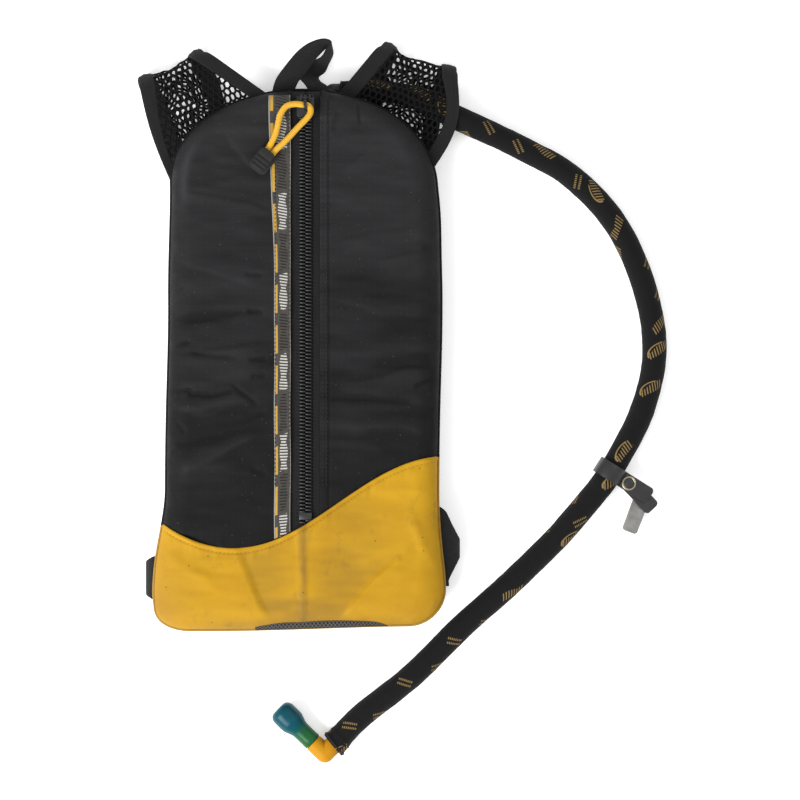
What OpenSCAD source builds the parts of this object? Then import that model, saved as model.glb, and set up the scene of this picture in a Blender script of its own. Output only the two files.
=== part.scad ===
// Insulated hydration pack with its water bladder, drink hose and bite valve.
// Millimetres. The pack lies on its back: +Z is out of the front, +Y is towards the grab handle.

/* [Pack] */
// height of the pack
pack_h = 420; // [390:1:450]
// width at the shoulders
shoulder_w = 204; // [190:1:208]
// width at mid height
mid_w = 211; // [206:1:218]
// width near the base
base_w = 226; // [222:1:240]
// height of the top arch
arch_h = 71; // [60:1:80]
// radius of the base corners
corner_r = 28; // [20:1:36]
// back of the pack above the floor
back_z = 8; // [7.8:0.1:10]
// side seam above the floor
seam_z = 24; // [24:0.1:26]
// front of the pack above the floor
front_z = 38; // [37.6:0.1:40]
// rounding of the front edge
front_r = 18; // [12:1:22]
// rounding of the back edge
back_r = 16; // [14:0.5:16]
// thickness of the quilted wall
wall = 1.6; // [1.2:0.1:2.2]

/* [Zip] */
// centre line of the zip
zip_x = 3; // [0:0.5:5]
// width of the zip slot
slot_w = 23; // [20:0.5:26]
// width of one coil half
coil_w = 4; // [3.4:0.1:4.4]
// height of the coil
coil_h = 2.8; // [2.2:0.1:3]
// gap between the coil halves
chain_gap = 1.8; // [1.6:0.1:2.2]
// distance between coil ribs
coil_pitch = 2.75; // [2.5:0.05:3.5]
// width of the trim tape
trim_w = 12.5; // [9:0.5:15]
// thickness of the pull cord
cord_d = 4.6; // [3.6:0.1:4.8]

/* [Straps] */
// width of the grab handle webbing
handle_w = 18; // [15:0.5:20]
// thickness of the webbing
web_t = 1.4; // [1:0.1:1.5]
// width of the strap edge binding
bind_w = 11; // [8:0.5:12]
// thickness of the strap edge binding
bind_t = 2.2; // [1.6:0.1:2.2]
// thickness of the strap mesh
mesh_t = 1.2; // [0.8:0.1:1.4]
// pitch of the gaps in the upper strap
net_pitch = 6.5; // [6.5:0.5:12]
// pitch of the gaps in the lower strap
low_pitch = 11; // [11:0.5:18]

/* [Hose] */
// outside of the hose sleeve
sleeve_d = 19; // [17:0.1:19]
// outside of the drink tube
tube_d = 9.6; // [9:0.1:9.8]
// bore of the drink tube
tube_bore = 6.4; // [6:0.1:7]
// outside of the elbow
elbow_d = 14.5; // [12:0.1:15]
// outside of the bite valve bulb
bulb_d = 20.4; // [18:0.1:20.6]
// running clearance of turning fits
fit = 0.05; // [0.03:0.01:0.09]

/* [Bladder] */
// outside radius of the fill neck
neck_r = 27; // [22:0.5:28]
// thickness of the bladder film
film_t = 0.8; // [0.5:0.1:1]

/* [Hidden] */
spring_y = pack_h / 2 - arch_h;
low_y = -pack_h / 2 + corner_r;
seam_gap = 0.3;
wave_mid = -111;
wave_amp = 35.5;
wave_x = 29;
wave_half = 162;
tape_t = 0.8;
tape_z = front_z - wall - 0.2 - tape_t;
coil_z = tape_z + tape_t;
coil_top = coil_z + coil_h;
zip_top = 199;
zip_end = wave(zip_x + chain_gap / 2 + coil_w) + 7;
slide_y = 197;

function mix(a, b, t) = a + (b - a) * t;
function ease(t) = let (c = min(1, max(0, t))) c * c * (3 - 2 * c);
function unit(v) = v / norm(v);
function wave(x) = wave_mid + wave_amp * sin(180 * (x - wave_x) / wave_half);
function side_x(y) = shoulder_w / 2 + (mid_w - shoulder_w) / 2 * ease((spring_y - y) / 90)
  + (base_w - mid_w) / 2 * ease((-100 - y) / (-100 - low_y));
function edge_x(y) =
  y > spring_y ? shoulder_w / 2 * sqrt(max(0, 1 - pow((y - spring_y) / arch_h, 2)))
  : y < low_y ? base_w / 2 - corner_r + sqrt(max(0, pow(corner_r, 2) - pow(low_y - y, 2)))
  : side_x(y);
function top_y(x) = spring_y + arch_h * sqrt(max(0, 1 - pow(2 * x / shoulder_w, 2)));
function base_y(x) = let (o = max(0, abs(x) - base_w / 2 + corner_r))
  low_y - sqrt(max(0, pow(corner_r, 2) - o * o));
function inv2(d) = 1 / pow(max(d, 0.00001), 2);
function depth(p) = 1 / sqrt(inv2(edge_x(p.y) - abs(p.x)) + inv2(2 * (top_y(p.x) - p.y))
  + inv2(p.y - base_y(p.x)));
function swell(p) = let (q = 1 - min(1, depth(p) / front_r)) sqrt(1 - q * q);
function skin(p) = seam_z + (front_z - seam_z) * swell(p);
function inset(p, d) = [p.x * (1 - 2 * d / base_w), p.y * (1 - 2 * d / pack_h)];
function over(p) = [p.x, p.y, skin(p)];
function under(p) = let (q = inset(p, wall))
  [q.x, q.y, seam_z + (front_z - wall - seam_z) * swell(p)];

// A smooth line through hand placed points.
function bend(a, b, c, d, t) = 0.5 * (2 * b + (c - a) * t + (2 * a - 5 * b + 4 * c - d) * t * t
  + (3 * b - a - 3 * c + d) * t * t * t);
function smooth(p, k) = let (n = len(p) - 1)
  [for (i = [0:n - 1]) for (j = [0:k - 1])
    bend(p[max(0, i - 1)], p[i], p[i + 1], p[min(n, i + 2)], j / k), p[n]];
function heading(p, i) = unit(p[min(len(p) - 1, i + 1)] - p[max(0, i - 1)]);

// Half of the outline, from a height up to a fifty degree point of the arch.
function rim(s, y0, t) = t < 0.7 ? let (y = mix(y0, spring_y, t / 0.7)) [s * edge_x(y), y]
  : let (a = 50 * (t - 0.7) / 0.3) arch_at(s, a);
function arch_at(s, a) = [s * shoulder_w / 2 * cos(a), spring_y + arch_h * sin(a)];
function foot(s, y0, t) = t < 0.35
  ? let (a = 45 * (1 - t / 0.35))
    [s * (base_w / 2 - corner_r + corner_r * cos(a)), low_y - corner_r * sin(a)]
  : let (y = mix(low_y, y0, (t - 0.35) / 0.65)) [s * edge_x(y), y];

function patch(lo, hi, lf, rt, us, vs) = [for (j = [0:len(vs) - 1]) [for (i = [0:len(us) - 1])
  let (u = us[i], v = vs[j], n = len(us) - 1, m = len(vs) - 1)
  mix(lo[i], hi[i], v) + mix(lf[j], rt[j], u)
  - mix(mix(lo[0], lo[n], u), mix(hi[0], hi[n], u), v)]];

// A sheet with thickness from a grid of outer points and a grid of inner points.
module quilt(grid, turned) {
  m = len(grid);
  n = len(grid[0]);
  k = m * n;
  pts = concat([for (r = grid) for (p = r) over(p)], [for (r = grid) for (p = r) under(p)]);
  faces = concat(
    [for (j = [0:m - 2]) for (i = [0:n - 2]) let (a = j * n + i)
      each [[a, a + n + 1, a + 1], [a, a + n, a + n + 1],
        [k + a, k + a + 1, k + a + n + 1], [k + a, k + a + n + 1, k + a + n]]],
    [for (i = [0:n - 2]) let (b = (m - 1) * n + i)
      each [[i, i + 1, k + i + 1], [i, k + i + 1, k + i],
        [b, k + b + 1, b + 1], [b, k + b, k + b + 1]]],
    [for (j = [0:m - 2]) let (a = j * n, b = j * n + n - 1)
      each [[a, k + a + n, a + n], [a, k + a, k + a + n],
        [b, b + n, k + b + n], [b, k + b + n, k + b]]]);
  polyhedron(pts, turned ? [for (f = faces) [f[0], f[2], f[1]]] : faces, convexity = 6);
}

// A flat band: each station is an edge point, a full width vector and a normal.
module band(st, t) {
  n = len(st);
  pts = [for (s = st) each [s[0] + s[2] * t / 2, s[0] + s[1] + s[2] * t / 2,
    s[0] + s[1] - s[2] * t / 2, s[0] - s[2] * t / 2]];
  faces = concat([[0, 2, 1], [0, 3, 2]],
    [for (i = [0:n - 2]) for (k = [0:3]) let (a = i * 4 + k, b = i * 4 + (k + 1) % 4)
      each [[a, b + 4, a + 4], [a, b, b + 4]]],
    [let (e = n * 4 - 4) each [[e, e + 1, e + 2], [e, e + 2, e + 3]]]);
  polyhedron(pts, faces, convexity = 8);
}

// Stations of a band with its middle on a line and its width along w.
function along(path, w, width) = [for (i = [0:len(path) - 1])
  let (h = heading(path, i), v = unit(w[i] - h * (w[i] * h)))
  [path[i] - v * width / 2, v * width, unit(cross(h, v))]];

function ring(c, h, r, sides) = let (s = unit(cross(h, [0, 0, 1])), u = cross(s, h))
  [for (k = [0:sides - 1]) c + r * (s * cos(360 * k / sides) + u * sin(360 * k / sides))];
function wrap(i, sides, o) = [for (k = [0:sides - 1]) let (a = o + i * sides + k,
  b = o + i * sides + (k + 1) % sides) each [[a, b, b + sides], [a, b + sides, a + sides]]];

// A round cord along a line, solid when bore is zero.
module cord(path, radii, bore, sides) {
  n = len(path);
  k = n * sides;
  outer = [for (i = [0:n - 1]) each ring(path[i], heading(path, i), radii[i], sides)];
  inner = [for (i = [0:n - 1]) each ring(path[i], heading(path, i), bore, sides)];
  wall_f = [for (i = [0:n - 2]) each wrap(i, sides, 0)];
  bore_f = [for (i = [0:n - 2]) for (f = wrap(i, sides, k)) [f[0], f[2], f[1]]];
  e = k - sides;
  ends = [for (i = [0:sides - 1]) let (j = (i + 1) % sides)
    each [[i, k + i, k + j], [i, k + j, j],
      [e + i, k + e + j, k + e + i], [e + i, e + j, k + e + j]]];
  caps = [[for (i = [0:sides - 1]) sides - 1 - i], [for (i = [0:sides - 1]) e + i]];
  if (bore > 0) {
    polyhedron(concat(outer, inner), concat(wall_f, bore_f, ends), convexity = 8);
  } else {
    polyhedron(outer, concat(wall_f, caps), convexity = 8);
  }
}

us = [0, 0.02, 0.06, 0.12, 0.2, 0.4, 0.7, 1];
vs = [0, 0.1, 0.25, 0.42, 0.56, 0.68, 0.78, 0.86, 0.93, 0.97, 1];
ws = [0, 0.03, 0.08, 0.14, 0.22, 0.32, 0.42, 0.5, 0.58, 0.68, 0.78, 0.86, 0.92, 0.97, 1];
hs = [0, 0.04, 0.1, 0.18, 0.28, 0.42, 0.6, 0.8, 1];

module front_half(s) {
  slot = zip_x + s * slot_w / 2;
  x0 = s * edge_x(wave(s * mid_w / 2));
  y0 = wave(x0) + seam_gap;
  a1 = acos(abs(slot) / (shoulder_w / 2));
  lo = [for (u = us) let (x = mix(s * edge_x(y0), slot, u)) [x, wave(x) + seam_gap]];
  hi = [for (u = us) arch_at(s, mix(50, s * slot > 0 ? a1 : 180 - a1, u))];
  lf = [for (v = vs) rim(s, y0, v)];
  rt = [for (v = vs) [slot, mix(wave(slot) + seam_gap, top_y(slot), v)]];
  quilt(patch(lo, hi, lf, rt, us, vs), s > 0);
}

module front_panel_left() {
  color([0.15, 0.15, 0.16]) front_half(-1);
}

module front_panel_right() {
  color([0.15, 0.15, 0.16]) front_half(1);
}

module lower_panel() {
  yl = wave(-edge_x(wave(-mid_w / 2)));
  yr = wave(edge_x(wave(mid_w / 2)));
  hi = [for (u = ws) let (x = mix(-edge_x(yl), edge_x(yr), u)) [x, wave(x)]];
  c = base_w / 2 - corner_r + corner_r * cos(45);
  lo = [for (u = ws) let (x = mix(-c, c, u)) [x, base_y(x)]];
  lf = [for (v = hs) foot(-1, yl, v)];
  rt = [for (v = hs) foot(1, yr, v)];
  color([0.88, 0.67, 0.2]) quilt(patch(lo, hi, lf, rt, ws, hs), false);
}

outline = concat([for (a = [0:10:180]) [shoulder_w / 2 * cos(a), spring_y + arch_h * sin(a)]],
  [for (t = [1:7]) let (y = mix(spring_y, low_y, t / 7)) [-edge_x(y), y]],
  [for (a = [15:15:90]) [corner_r - base_w / 2 - corner_r * cos(a), low_y - corner_r * sin(a)]],
  [for (t = [1:4]) [mix(-base_w / 2 + corner_r, base_w / 2 - corner_r, t / 4), -pack_h / 2]],
  [for (a = [75:-15:0]) [base_w / 2 - corner_r + corner_r * cos(a), low_y - corner_r * sin(a)]],
  [for (t = [1:6]) let (y = mix(low_y, spring_y, t / 7)) [edge_x(y), y]]);

// The back panel: a dish of rings from the side seam down to the flat back.
module dish() {
  n = len(outline);
  steps = [0:22.5:90];
  outer = [for (a = steps) for (p = outline) let (q = inset(p, back_r * (1 - cos(a))))
    [q.x, q.y, seam_z - (seam_z - back_z) * sin(a)]];
  inner = [for (a = steps) for (p = outline)
    let (q = inset(p, wall + (back_r - wall / 2) * (1 - cos(a))))
    [q.x, q.y, seam_z - (seam_z - back_z - wall) * sin(a)]];
  k = 5 * n;
  faces = concat(
    [for (j = [0:3]) for (i = [0:n - 1]) let (a = j * n + i, b = j * n + (i + 1) % n)
      each [[a, b, b + n], [a, b + n, a + n], [k + a, k + b + n, k + b], [k + a, k + a + n, k + b + n]]],
    [for (i = [0:n - 1]) let (j = (i + 1) % n) each [[i, k + j, j], [i, k + i, k + j]]],
    [[for (i = [0:n - 1]) 4 * n + i], [for (i = [0:n - 1]) k + 5 * n - 1 - i]]);
  polyhedron(concat(outer, inner), faces, convexity = 6);
}

exit_x = 20;
exit_y = pack_h / 2 + 1;
exit_z = 9.4;
neck_y = exit_y - 15;
neck_z = exit_z + 4.6;

module back_panel() {
  color([0.13, 0.13, 0.14]) difference() {
    dish();
    translate([exit_x, neck_y - 4, neck_z]) rotate([-90, 0, 0])
      cylinder(r = tube_d / 2 + 0.8, h = 20, $fn = 32);
  }
}

pad_w = 84;
pad_top = 150;
pad_low = -185;

module rounded(x0, y0, x1, y1, r) {
  translate([x0 + r, y0]) square([x1 - x0 - 2 * r, y1 - y0]);
  translate([x0, y0 + r]) square([x1 - x0, y1 - y0 - 2 * r]);
  for (x = [x0 + r, x1 - r]) {
    for (y = [y0 + r, y1 - r]) {
      translate([x, y]) circle(r = r, $fn = 32);
    }
  }
}

module back_pad() {
  color([0.2, 0.2, 0.21]) linear_extrude(back_z)
    rounded(-pad_w / 2, pad_low, pad_w / 2, pad_top, 16);
}

module sheet(d, z, t) {
  translate([0, 0, z]) linear_extrude(t) polygon([for (p = outline) inset(p, d)]);
}

module front_foam() {
  h = slot_w / 2 + 5.8;
  color([0.75, 0.76, 0.78]) translate([0, 0, tape_z - 0.5]) linear_extrude(1.2) difference() {
    polygon([for (p = outline) inset(p, 21)]);
    translate([zip_x - h, zip_end - 24]) square([2 * h, pack_h]);
  }
}

module back_foam() {
  color([0.75, 0.76, 0.78]) sheet(30, back_z + wall + 0.2, 3);
}

drain_l = base_w * 0.469;

module drain_mesh() {
  color([0.2, 0.2, 0.2]) translate([-drain_l * 0.34, -pack_h / 2 - 2.8, seam_z - 7])
    cube([drain_l, 2.6, 6.6]);
}

// A strip that lies on the front panel between two lines.
module trim_tape() {
  x1 = zip_x - slot_w / 2 - 0.4;
  x0 = x1 - trim_w;
  y1 = pack_h / 2 - 5;
  y0 = wave(x0) + 1.2;
  n = 11;
  ys = [for (i = [0:n]) let (t = i / n) mix(y0, y1, 1 - pow(1 - t, 2))];
  st = [for (y = ys) let (a = over([x0, y]), b = over([x1, y]))
    [a + [0, 0, 0.6], b - a, [0, 0, 1]]];
  color([0.3, 0.29, 0.28]) band([for (i = [n:-1:0]) st[i]], 0.8);
}

module zip_tape(s) {
  a = chain_gap / 2;
  w = slot_w / 2 + 5 - a;
  x = s > 0 ? zip_x + a : zip_x - a - w;
  color([0.1, 0.1, 0.11]) translate([x, zip_end - 18, tape_z])
    cube([w, zip_top - zip_end + 18, tape_t]);
}

module zip_tape_left() {
  zip_tape(-1);
}

module zip_tape_right() {
  zip_tape(1);
}

// One coil half: a row of ribs joined along its outer edge.
module zip_coil(s, shift) {
  n = floor((zip_top - zip_end) / coil_pitch) - 1;
  a = chain_gap / 2;
  rib = coil_pitch * 0.62;
  ribs = [for (i = [0:n - 1]) let (y = zip_end + shift + i * coil_pitch)
    each [[a + 1.2, y], [a, y + rib * 0.2], [a, y + rib * 0.8], [a + 1.2, y + rib],
      [a + coil_w - 1, y + rib], [a + coil_w - 1, y + coil_pitch]]];
  back = [[a + coil_w - 1, zip_end + shift + n * coil_pitch],
    [a + coil_w, zip_end + shift + n * coil_pitch], [a + coil_w, zip_end + shift]];
  color([0.13, 0.13, 0.13]) translate([zip_x, 0, coil_z]) linear_extrude(coil_h)
    polygon([for (p = concat(ribs, back, [[a + coil_w - 1, zip_end + shift]])) [s * p.x, p.y]]);
}

module zip_coil_left() {
  zip_coil(-1, 0);
}

module zip_coil_right() {
  zip_coil(1, coil_pitch / 2);
}

module zip_bottom_stop() {
  h = chain_gap / 2 + coil_w;
  color([0.3, 0.3, 0.3]) translate([zip_x - h, zip_end - 6, coil_z])
    cube([2 * h, 5.5, coil_h]);
}

slider_w = 13.6;
slider_l = 18;
wing_z = coil_top + 0.3;
hinge_y = slide_y + 6;
hinge_z = wing_z + 4.3;
eye_y = hinge_y - 5.6;
eye_z = hinge_z + 1.7;
tab_t = 2.6;

module zip_slider() {
  h = chain_gap / 2 + coil_w + 0.4;
  color([0.25, 0.25, 0.26]) translate([zip_x, slide_y, 0]) {
    translate([0, 0, wing_z]) linear_extrude(1)
      rounded(-slider_w / 2, -slider_l / 2, slider_w / 2, slider_l / 2, 3);
    for (x = [-slider_w / 2, h]) {
      translate([x, -slider_l / 2 + 3, coil_z + 0.3])
        cube([slider_w / 2 - h, slider_l - 6, coil_h + 0.5]);
    }
    translate([0, 0, tape_z - 1.7]) linear_extrude(1.4)
      rounded(-slider_w / 2, -slider_l / 2, slider_w / 2, slider_l / 2, 3);
    translate([-0.5, 1, tape_z - 0.5]) cube([1, 6, wing_z - tape_z + 0.8]);
    for (x = [-4, 2.4]) {
      translate([x, 3.5, wing_z + 0.8]) cube([1.6, 5, 5]);
    }
    translate([-3, 6, hinge_z]) rotate([0, 90, 0]) cylinder(r = 1.2, h = 6, $fn = 32);
  }
}

module pull_tab() {
  a = atan2(eye_z - hinge_z, eye_y - hinge_y);
  color([0.3, 0.3, 0.31]) translate([zip_x - tab_t / 2, 0, 0]) rotate([90, 0, 90]) linear_extrude(tab_t)
    difference() {
      union() {
        translate([hinge_y, hinge_z]) circle(r = 2.4, $fn = 40);
        translate([eye_y, eye_z]) circle(r = cord_d / 2 + 2.2, $fn = 48);
        translate([hinge_y, hinge_z]) rotate(a) translate([0, -2]) square([3, 4]);
      }
      translate([hinge_y, hinge_z]) circle(r = 1.2 + fit, $fn = 40);
      translate([eye_y, eye_z]) circle(r = cord_d / 2 + 1, $fn = 48);
    }
}

grip_at = [-30, 154];
grip_a = 232;
grip_l = 19;
grip_w = 15.5;
grip_h = 8;
grip_z = front_z + 5.5;
grip_in = grip_at - (grip_l / 2 - 6) * [cos(grip_a), sin(grip_a)];
grip_out = grip_at - (grip_l / 2 + 3) * [cos(grip_a), sin(grip_a)];
grip_side = 2.8 * [-sin(grip_a), cos(grip_a)];
loop_pts = [[each grip_in - grip_side, grip_z], [each grip_out - grip_side, grip_z],
  [-19.8, 175.2, grip_z + 0.6], [-17.6, 184.6, grip_z + 1.2], [-15.6, 191, grip_z + 1.5],
  [-11.3, 196.4, eye_z], [-5, 198, eye_z], [zip_x - 2.4, eye_y + 0.1, eye_z], [zip_x, eye_y, eye_z],
  [zip_x + 2.4, eye_y - 0.8, eye_z], [7.2, 193.2, eye_z], [5.4, 188.4, eye_z - 0.1],
  [-2.8, 179.8, grip_z + 1.2], [-11.2, 170.6, grip_z + 0.6],
  [each grip_out + grip_side, grip_z], [each grip_in + grip_side, grip_z]];

module pull_cord() {
  p = smooth(loop_pts, 4);
  color([0.98, 0.74, 0.24]) cord(p, [for (q = p) cord_d / 2], 0, 8);
}

module pull_grip() {
  color([0.09, 0.09, 0.09]) translate([each grip_at, grip_z]) rotate([0, 0, grip_a])
    difference() {
      union() {
        translate([0, 0, -grip_h / 2]) linear_extrude(grip_h / 2 - 0.4)
          rounded(-grip_l / 2, -grip_w / 2, grip_l / 2, grip_w / 2, 4);
        translate([0, 0, -grip_h / 4]) linear_extrude(grip_h / 2)
          rounded(-grip_l / 2, -grip_w / 2 + 3, grip_l / 2 - 3, grip_w / 2 - 3.6, 2);
        translate([0, 0, 0.4]) linear_extrude(grip_h / 2 - 0.4)
          rounded(-grip_l / 2, -grip_w / 2 + 1.4, grip_l / 2 - 1.4, grip_w / 2 - 2.2, 3);
      }
      for (x = [-3, 0.5, 4]) {
        for (z = [-grip_h / 2 - 1, grip_h / 2 - 0.8]) {
          translate([x, -grip_w, z]) cube([1.6, 2 * grip_w, 1.8]);
        }
      }
      for (s = [-1, 1]) {
        translate([-grip_l / 2 - 1, s * 2.8, 0]) rotate([0, 90, 0])
          cylinder(r = cord_d / 2 + 0.3, h = 8, $fn = 32);
      }
    }
}

// Middle line of the grab loop from its left seam over the tip to its right seam.
handle_pts = [[-14.5, 210.27, 23.2], [-11.6, 217.5, 24.7], [-6, 224.8, 27], [2.2, 235.2, 29.5],
  [9.4, 241.6, 30], [17.8, 246.6, 28], [22.6, 246.2, 24.5], [21.8, 241, 20.5],
  [17.4, 233.6, 14.6], [11, 228.6, 12.6], [5.6, 224.2, 13], [6, 219.2, 16.5],
  [11, 214.2, 20.2], [13.8, 210.33, 23.2]];
// Which way the webbing's width points at each of those places.
handle_dir = [[1, 0.1, 0], [1, -0.1, -0.2], [0.85, -0.3, -0.4], [0.7, -0.4, -0.6],
  [0.42, -0.48, -0.78], [0.2, -0.3, -0.95], [0, -0.15, -1], [0.25, -0.2, -0.95],
  [0.33, -0.24, -0.92], [0.72, -0.38, -0.6], [0.82, -0.33, -0.48], [0.93, -0.18, -0.3],
  [0.99, -0.08, -0.12], [1, -0.1, 0]];

module grab_handle() {
  p = smooth(handle_pts, 3);
  w = smooth(handle_dir, 3);
  st = [for (i = [0:len(p) - 1]) let (v = unit(w[i]))
    [p[i] - v * handle_w / 2, v * handle_w, unit(cross(heading(p, i), v))]];
  color([0.1, 0.1, 0.1]) band(st, web_t);
}

up_z = 23.2;
low_z = 1.2;
bend_r = (up_z - low_z) / 2;
mid_z = (up_z + low_z) / 2;
strap_gap = 0.4;
// Upper strap corners of each side: inner crest and outer crest.
crest_left = [[-78, 243.3], [-130, 220.5]];
crest_right = [[63, 248.5], [121.5, 228]];
// How far the outer edge of each strap bows out between the pack and the crest.
function bow(s) = s < 0 ? 2.6 : 8.5;
strap_pts = [[80, 150], [78, 100], [76, 55], [78, 22]];
strap_half = [20, 20, 17, 15];
function base_in(s) = s < 0 ? 27.8 : 28.6;
function base_out(s) = s < 0 ? 139.5 : 148;

function crest(s) = s < 0 ? crest_left : crest_right;
function crest_dir(s) = unit(crest(s)[1] - crest(s)[0]);
function crest_out(s) = let (c = crest_dir(s)) s < 0 ? [c.y, -c.x] : [-c.y, c.x];
function crest_pt(s, i) = crest(s)[i] - bend_r * crest_out(s);
function out_x(y) = edge_x(y) + 0.7;
function out_y(x) = top_y(x) + 0.7;

// Middle line of the lower strap: x, y and half width.
function strap_line(s) = let (m = (crest_pt(s, 0) + crest_pt(s, 1)) / 2,
  h = norm(crest(s)[1] - crest(s)[0]) / 2, q = m - 25 * crest_out(s))
  smooth([[m.x, m.y, h], [q.x, q.y, h],
    each [for (i = [0:3]) [s * strap_pts[i].x, strap_pts[i].y, strap_half[i]]]], 4);
function strap_edge(s, side, d) = let (l = strap_line(s), f = [for (q = l) [q.x, q.y]])
  [for (i = [0:len(l) - 1]) let (h = i == 0 ? -crest_out(s) : heading(f, i),
    v = s * side * [h.y, -h.x]) [f[i] + v * (l[i].z - d), -v]];

// Upper edge of one strap from the pack to its crest, and the way its binding is wide there.
function edge_foot(s, side, d) = side > 0 ? [s * (base_in(s) + d), out_y(base_in(s) + d)]
  : [s * out_x(base_out(s) + d), base_out(s) + d];
function edge_wide(s, side, t) = mix(edge_foot(s, side, bind_w) - edge_foot(s, side, 0),
  crest_dir(s) * side * bind_w, t);
function edge_at(s, side, t) = mix(edge_foot(s, side, 0), crest_pt(s, side > 0 ? 0 : 1), t)
  + (side > 0 ? 0 : s * bow(s) * sin(180 * t)) * [1, 0];

// Edge binding of one strap: side 1 is the inner edge and side -1 the outer edge.
module strap_binding(s, side) {
  c = crest_dir(s) * side;
  p = crest_pt(s, side > 0 ? 0 : 1);
  o = crest_out(s);
  upper = [for (t = [0, 0.2, 0.4, 0.6, 0.8])
    [[each edge_at(s, side, t), up_z], [each edge_wide(s, side, t), 0], [0, 0, 1]]];
  turn = [for (k = [0:15:180]) let (n = [each o * sin(k), cos(k)])
    [[each p, mid_z] + bend_r * n, [each c * bind_w, 0], n]];
  low = [for (e = strap_edge(s, side, 0)) [[each e[0], low_z], [each e[1] * bind_w, 0], [0, 0, -1]]];
  st = concat(upper, turn, [for (i = [1:len(low) - 1]) low[i]]);
  flip = s * side < 0;
  color([0.11, 0.11, 0.12]) band(flip ? st : [for (i = [len(st) - 1:-1:0]) st[i]], bind_t);
}

module strap_binding_in_left() {
  strap_binding(-1, 1);
}

module strap_binding_out_left() {
  strap_binding(-1, -1);
}

module strap_binding_in_right() {
  strap_binding(1, 1);
}

module strap_binding_out_right() {
  strap_binding(1, -1);
}

// Distance from a line piece, and from a closed outline.
function off_piece(p, a, b) = let (d = b - a, t = max(0, min(1, (p - a) * d / (d * d))))
  norm(p - a - t * d);
function off_edge(p, q) = min([for (i = [0:len(q) - 1]) off_piece(p, q[i], q[(i + 1) % len(q)])]);
function crossings(p, q) = len([for (i = [0:len(q) - 1]) let (a = q[i], b = q[(i + 1) % len(q)])
  if ((a.y > p.y) != (b.y > p.y) && p.x < a.x + (p.y - a.y) / (b.y - a.y) * (b.x - a.x)) i]);

// A flat net: an outline with rows of diamond gaps.
module net(q, pitch) {
  r = pitch * 0.36;
  lo = [min([for (p = q) p.x]), min([for (p = q) p.y])];
  hi = [max([for (p = q) p.x]), max([for (p = q) p.y])];
  nx = floor((hi.x - lo.x) / pitch);
  ny = floor((hi.y - lo.y) / pitch * 2);
  mids = [for (j = [0:ny]) for (i = [0:nx])
    let (p = lo + [(i + (j % 2) / 2) * pitch, j * pitch / 2])
    if (crossings(p, q) % 2 == 1 && off_edge(p, q) > r + 1) p];
  n = len(q);
  gaps = [for (m = mids) each [m + [r, 0], m + [0, r], m - [r, 0], m - [0, r]]];
  polygon(concat(q, gaps), [[for (i = [0:n - 1]) i],
    each [for (i = [0:len(mids) - 1]) [for (k = [0:3]) n + 4 * i + k]]]);
}

module shoulder_mesh(s) {
  c = crest_dir(s);
  d = bind_w + strap_gap;
  a0 = acos((base_in(s) + d) / (shoulder_w / 2 + 0.7));
  a1 = asin((base_out(s) + d - spring_y) / (arch_h + 0.7));
  arc = [for (t = [0:8]) let (a = mix(a0, a1, t / 8))
    [s * (shoulder_w / 2 + 0.7) * cos(a), spring_y + (arch_h + 0.7) * sin(a)]];
  p = crest_pt(s, 0) + c * d;
  r = crest_pt(s, 1) - c * d;
  side = [for (t = [0.2:0.2:0.8]) edge_at(s, -1, t) + d * unit(edge_wide(s, -1, t))];
  top = concat([p], arc, side, [r]);
  i0 = strap_edge(s, 1, d);
  o0 = strap_edge(s, -1, d);
  n = len(i0) - 1;
  low = concat([for (e = i0) e[0]], [for (i = [n:-1:0]) o0[i][0]]);
  color([0.18, 0.18, 0.19]) {
    translate([0, 0, up_z - mesh_t / 2]) linear_extrude(mesh_t) net(top, net_pitch);
    translate([0, 0, low_z - mesh_t / 2]) linear_extrude(mesh_t) net(low, low_pitch);
    translate([each (p + r) / 2 - 0.3 * crest_out(s), mid_z])
      rotate([0, 0, atan2(s * c.y, s * c.x)]) rotate([0, 90, 0])
        rotate_extrude(angle = 180, $fn = 64)
          translate([bend_r - mesh_t / 2 + 0.1, -norm(r - p) / 2])
            square([mesh_t - 0.2, norm(r - p)]);
  }
}

module shoulder_mesh_left() {
  shoulder_mesh(-1);
}

module shoulder_mesh_right() {
  shoulder_mesh(1);
}

lock_x = 78;
lock_y = 8;
lock_w = 34;
lock_z = 3.6;
lock_t = 2.4;

module ladder_lock(s) {
  color([0.08, 0.08, 0.08]) translate([s * lock_x, lock_y, lock_z]) difference() {
    linear_extrude(lock_t) rounded(-lock_w / 2, -24, lock_w / 2, 2, 2);
    translate([-lock_w / 2 + 3.5, -9.5, -1]) cube([lock_w - 7, 7.5, lock_t + 2]);
    translate([-lock_w / 2 + 3.5, -19, -1]) cube([lock_w - 7, 5.5, lock_t + 2]);
  }
}

module ladder_lock_left() {
  ladder_lock(-1);
}

module ladder_lock_right() {
  ladder_lock(1);
}

// Webbing loop that ties the ladder lock to the lower strap, as y and z from the lock.
loop_line = [[30, 3], [14, 3], [4, 2.7], [-1, 2.4], [-3.4, 3.4], [-3.6, 5.4], [-2, 7],
  [4, 7], [11, 6.4], [18, 5.2], [28, 4.5]];
web_line = [[-20, 0.9], [-12, 0.9], [-7.6, 1.6], [-6.3, 4], [-7.2, 6.6], [-9.5, 7.1],
  [-13, 7.1], [-15.4, 6.2], [-16, 4.6], [-17.4, 3], [-21, 2.6], [-40, 2.6], [-70, 2.6]];
web_w = 22;

module strap_loop(s) {
  p = smooth([for (q = loop_line) [s * lock_x, lock_y + q.x, q.y]], 2);
  color([0.1, 0.1, 0.1]) band(along(p, [for (q = p) [1, 0, 0]], web_w), web_t * 0.8);
}

module strap_loop_left() {
  strap_loop(-1);
}

module strap_loop_right() {
  strap_loop(1);
}

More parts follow.
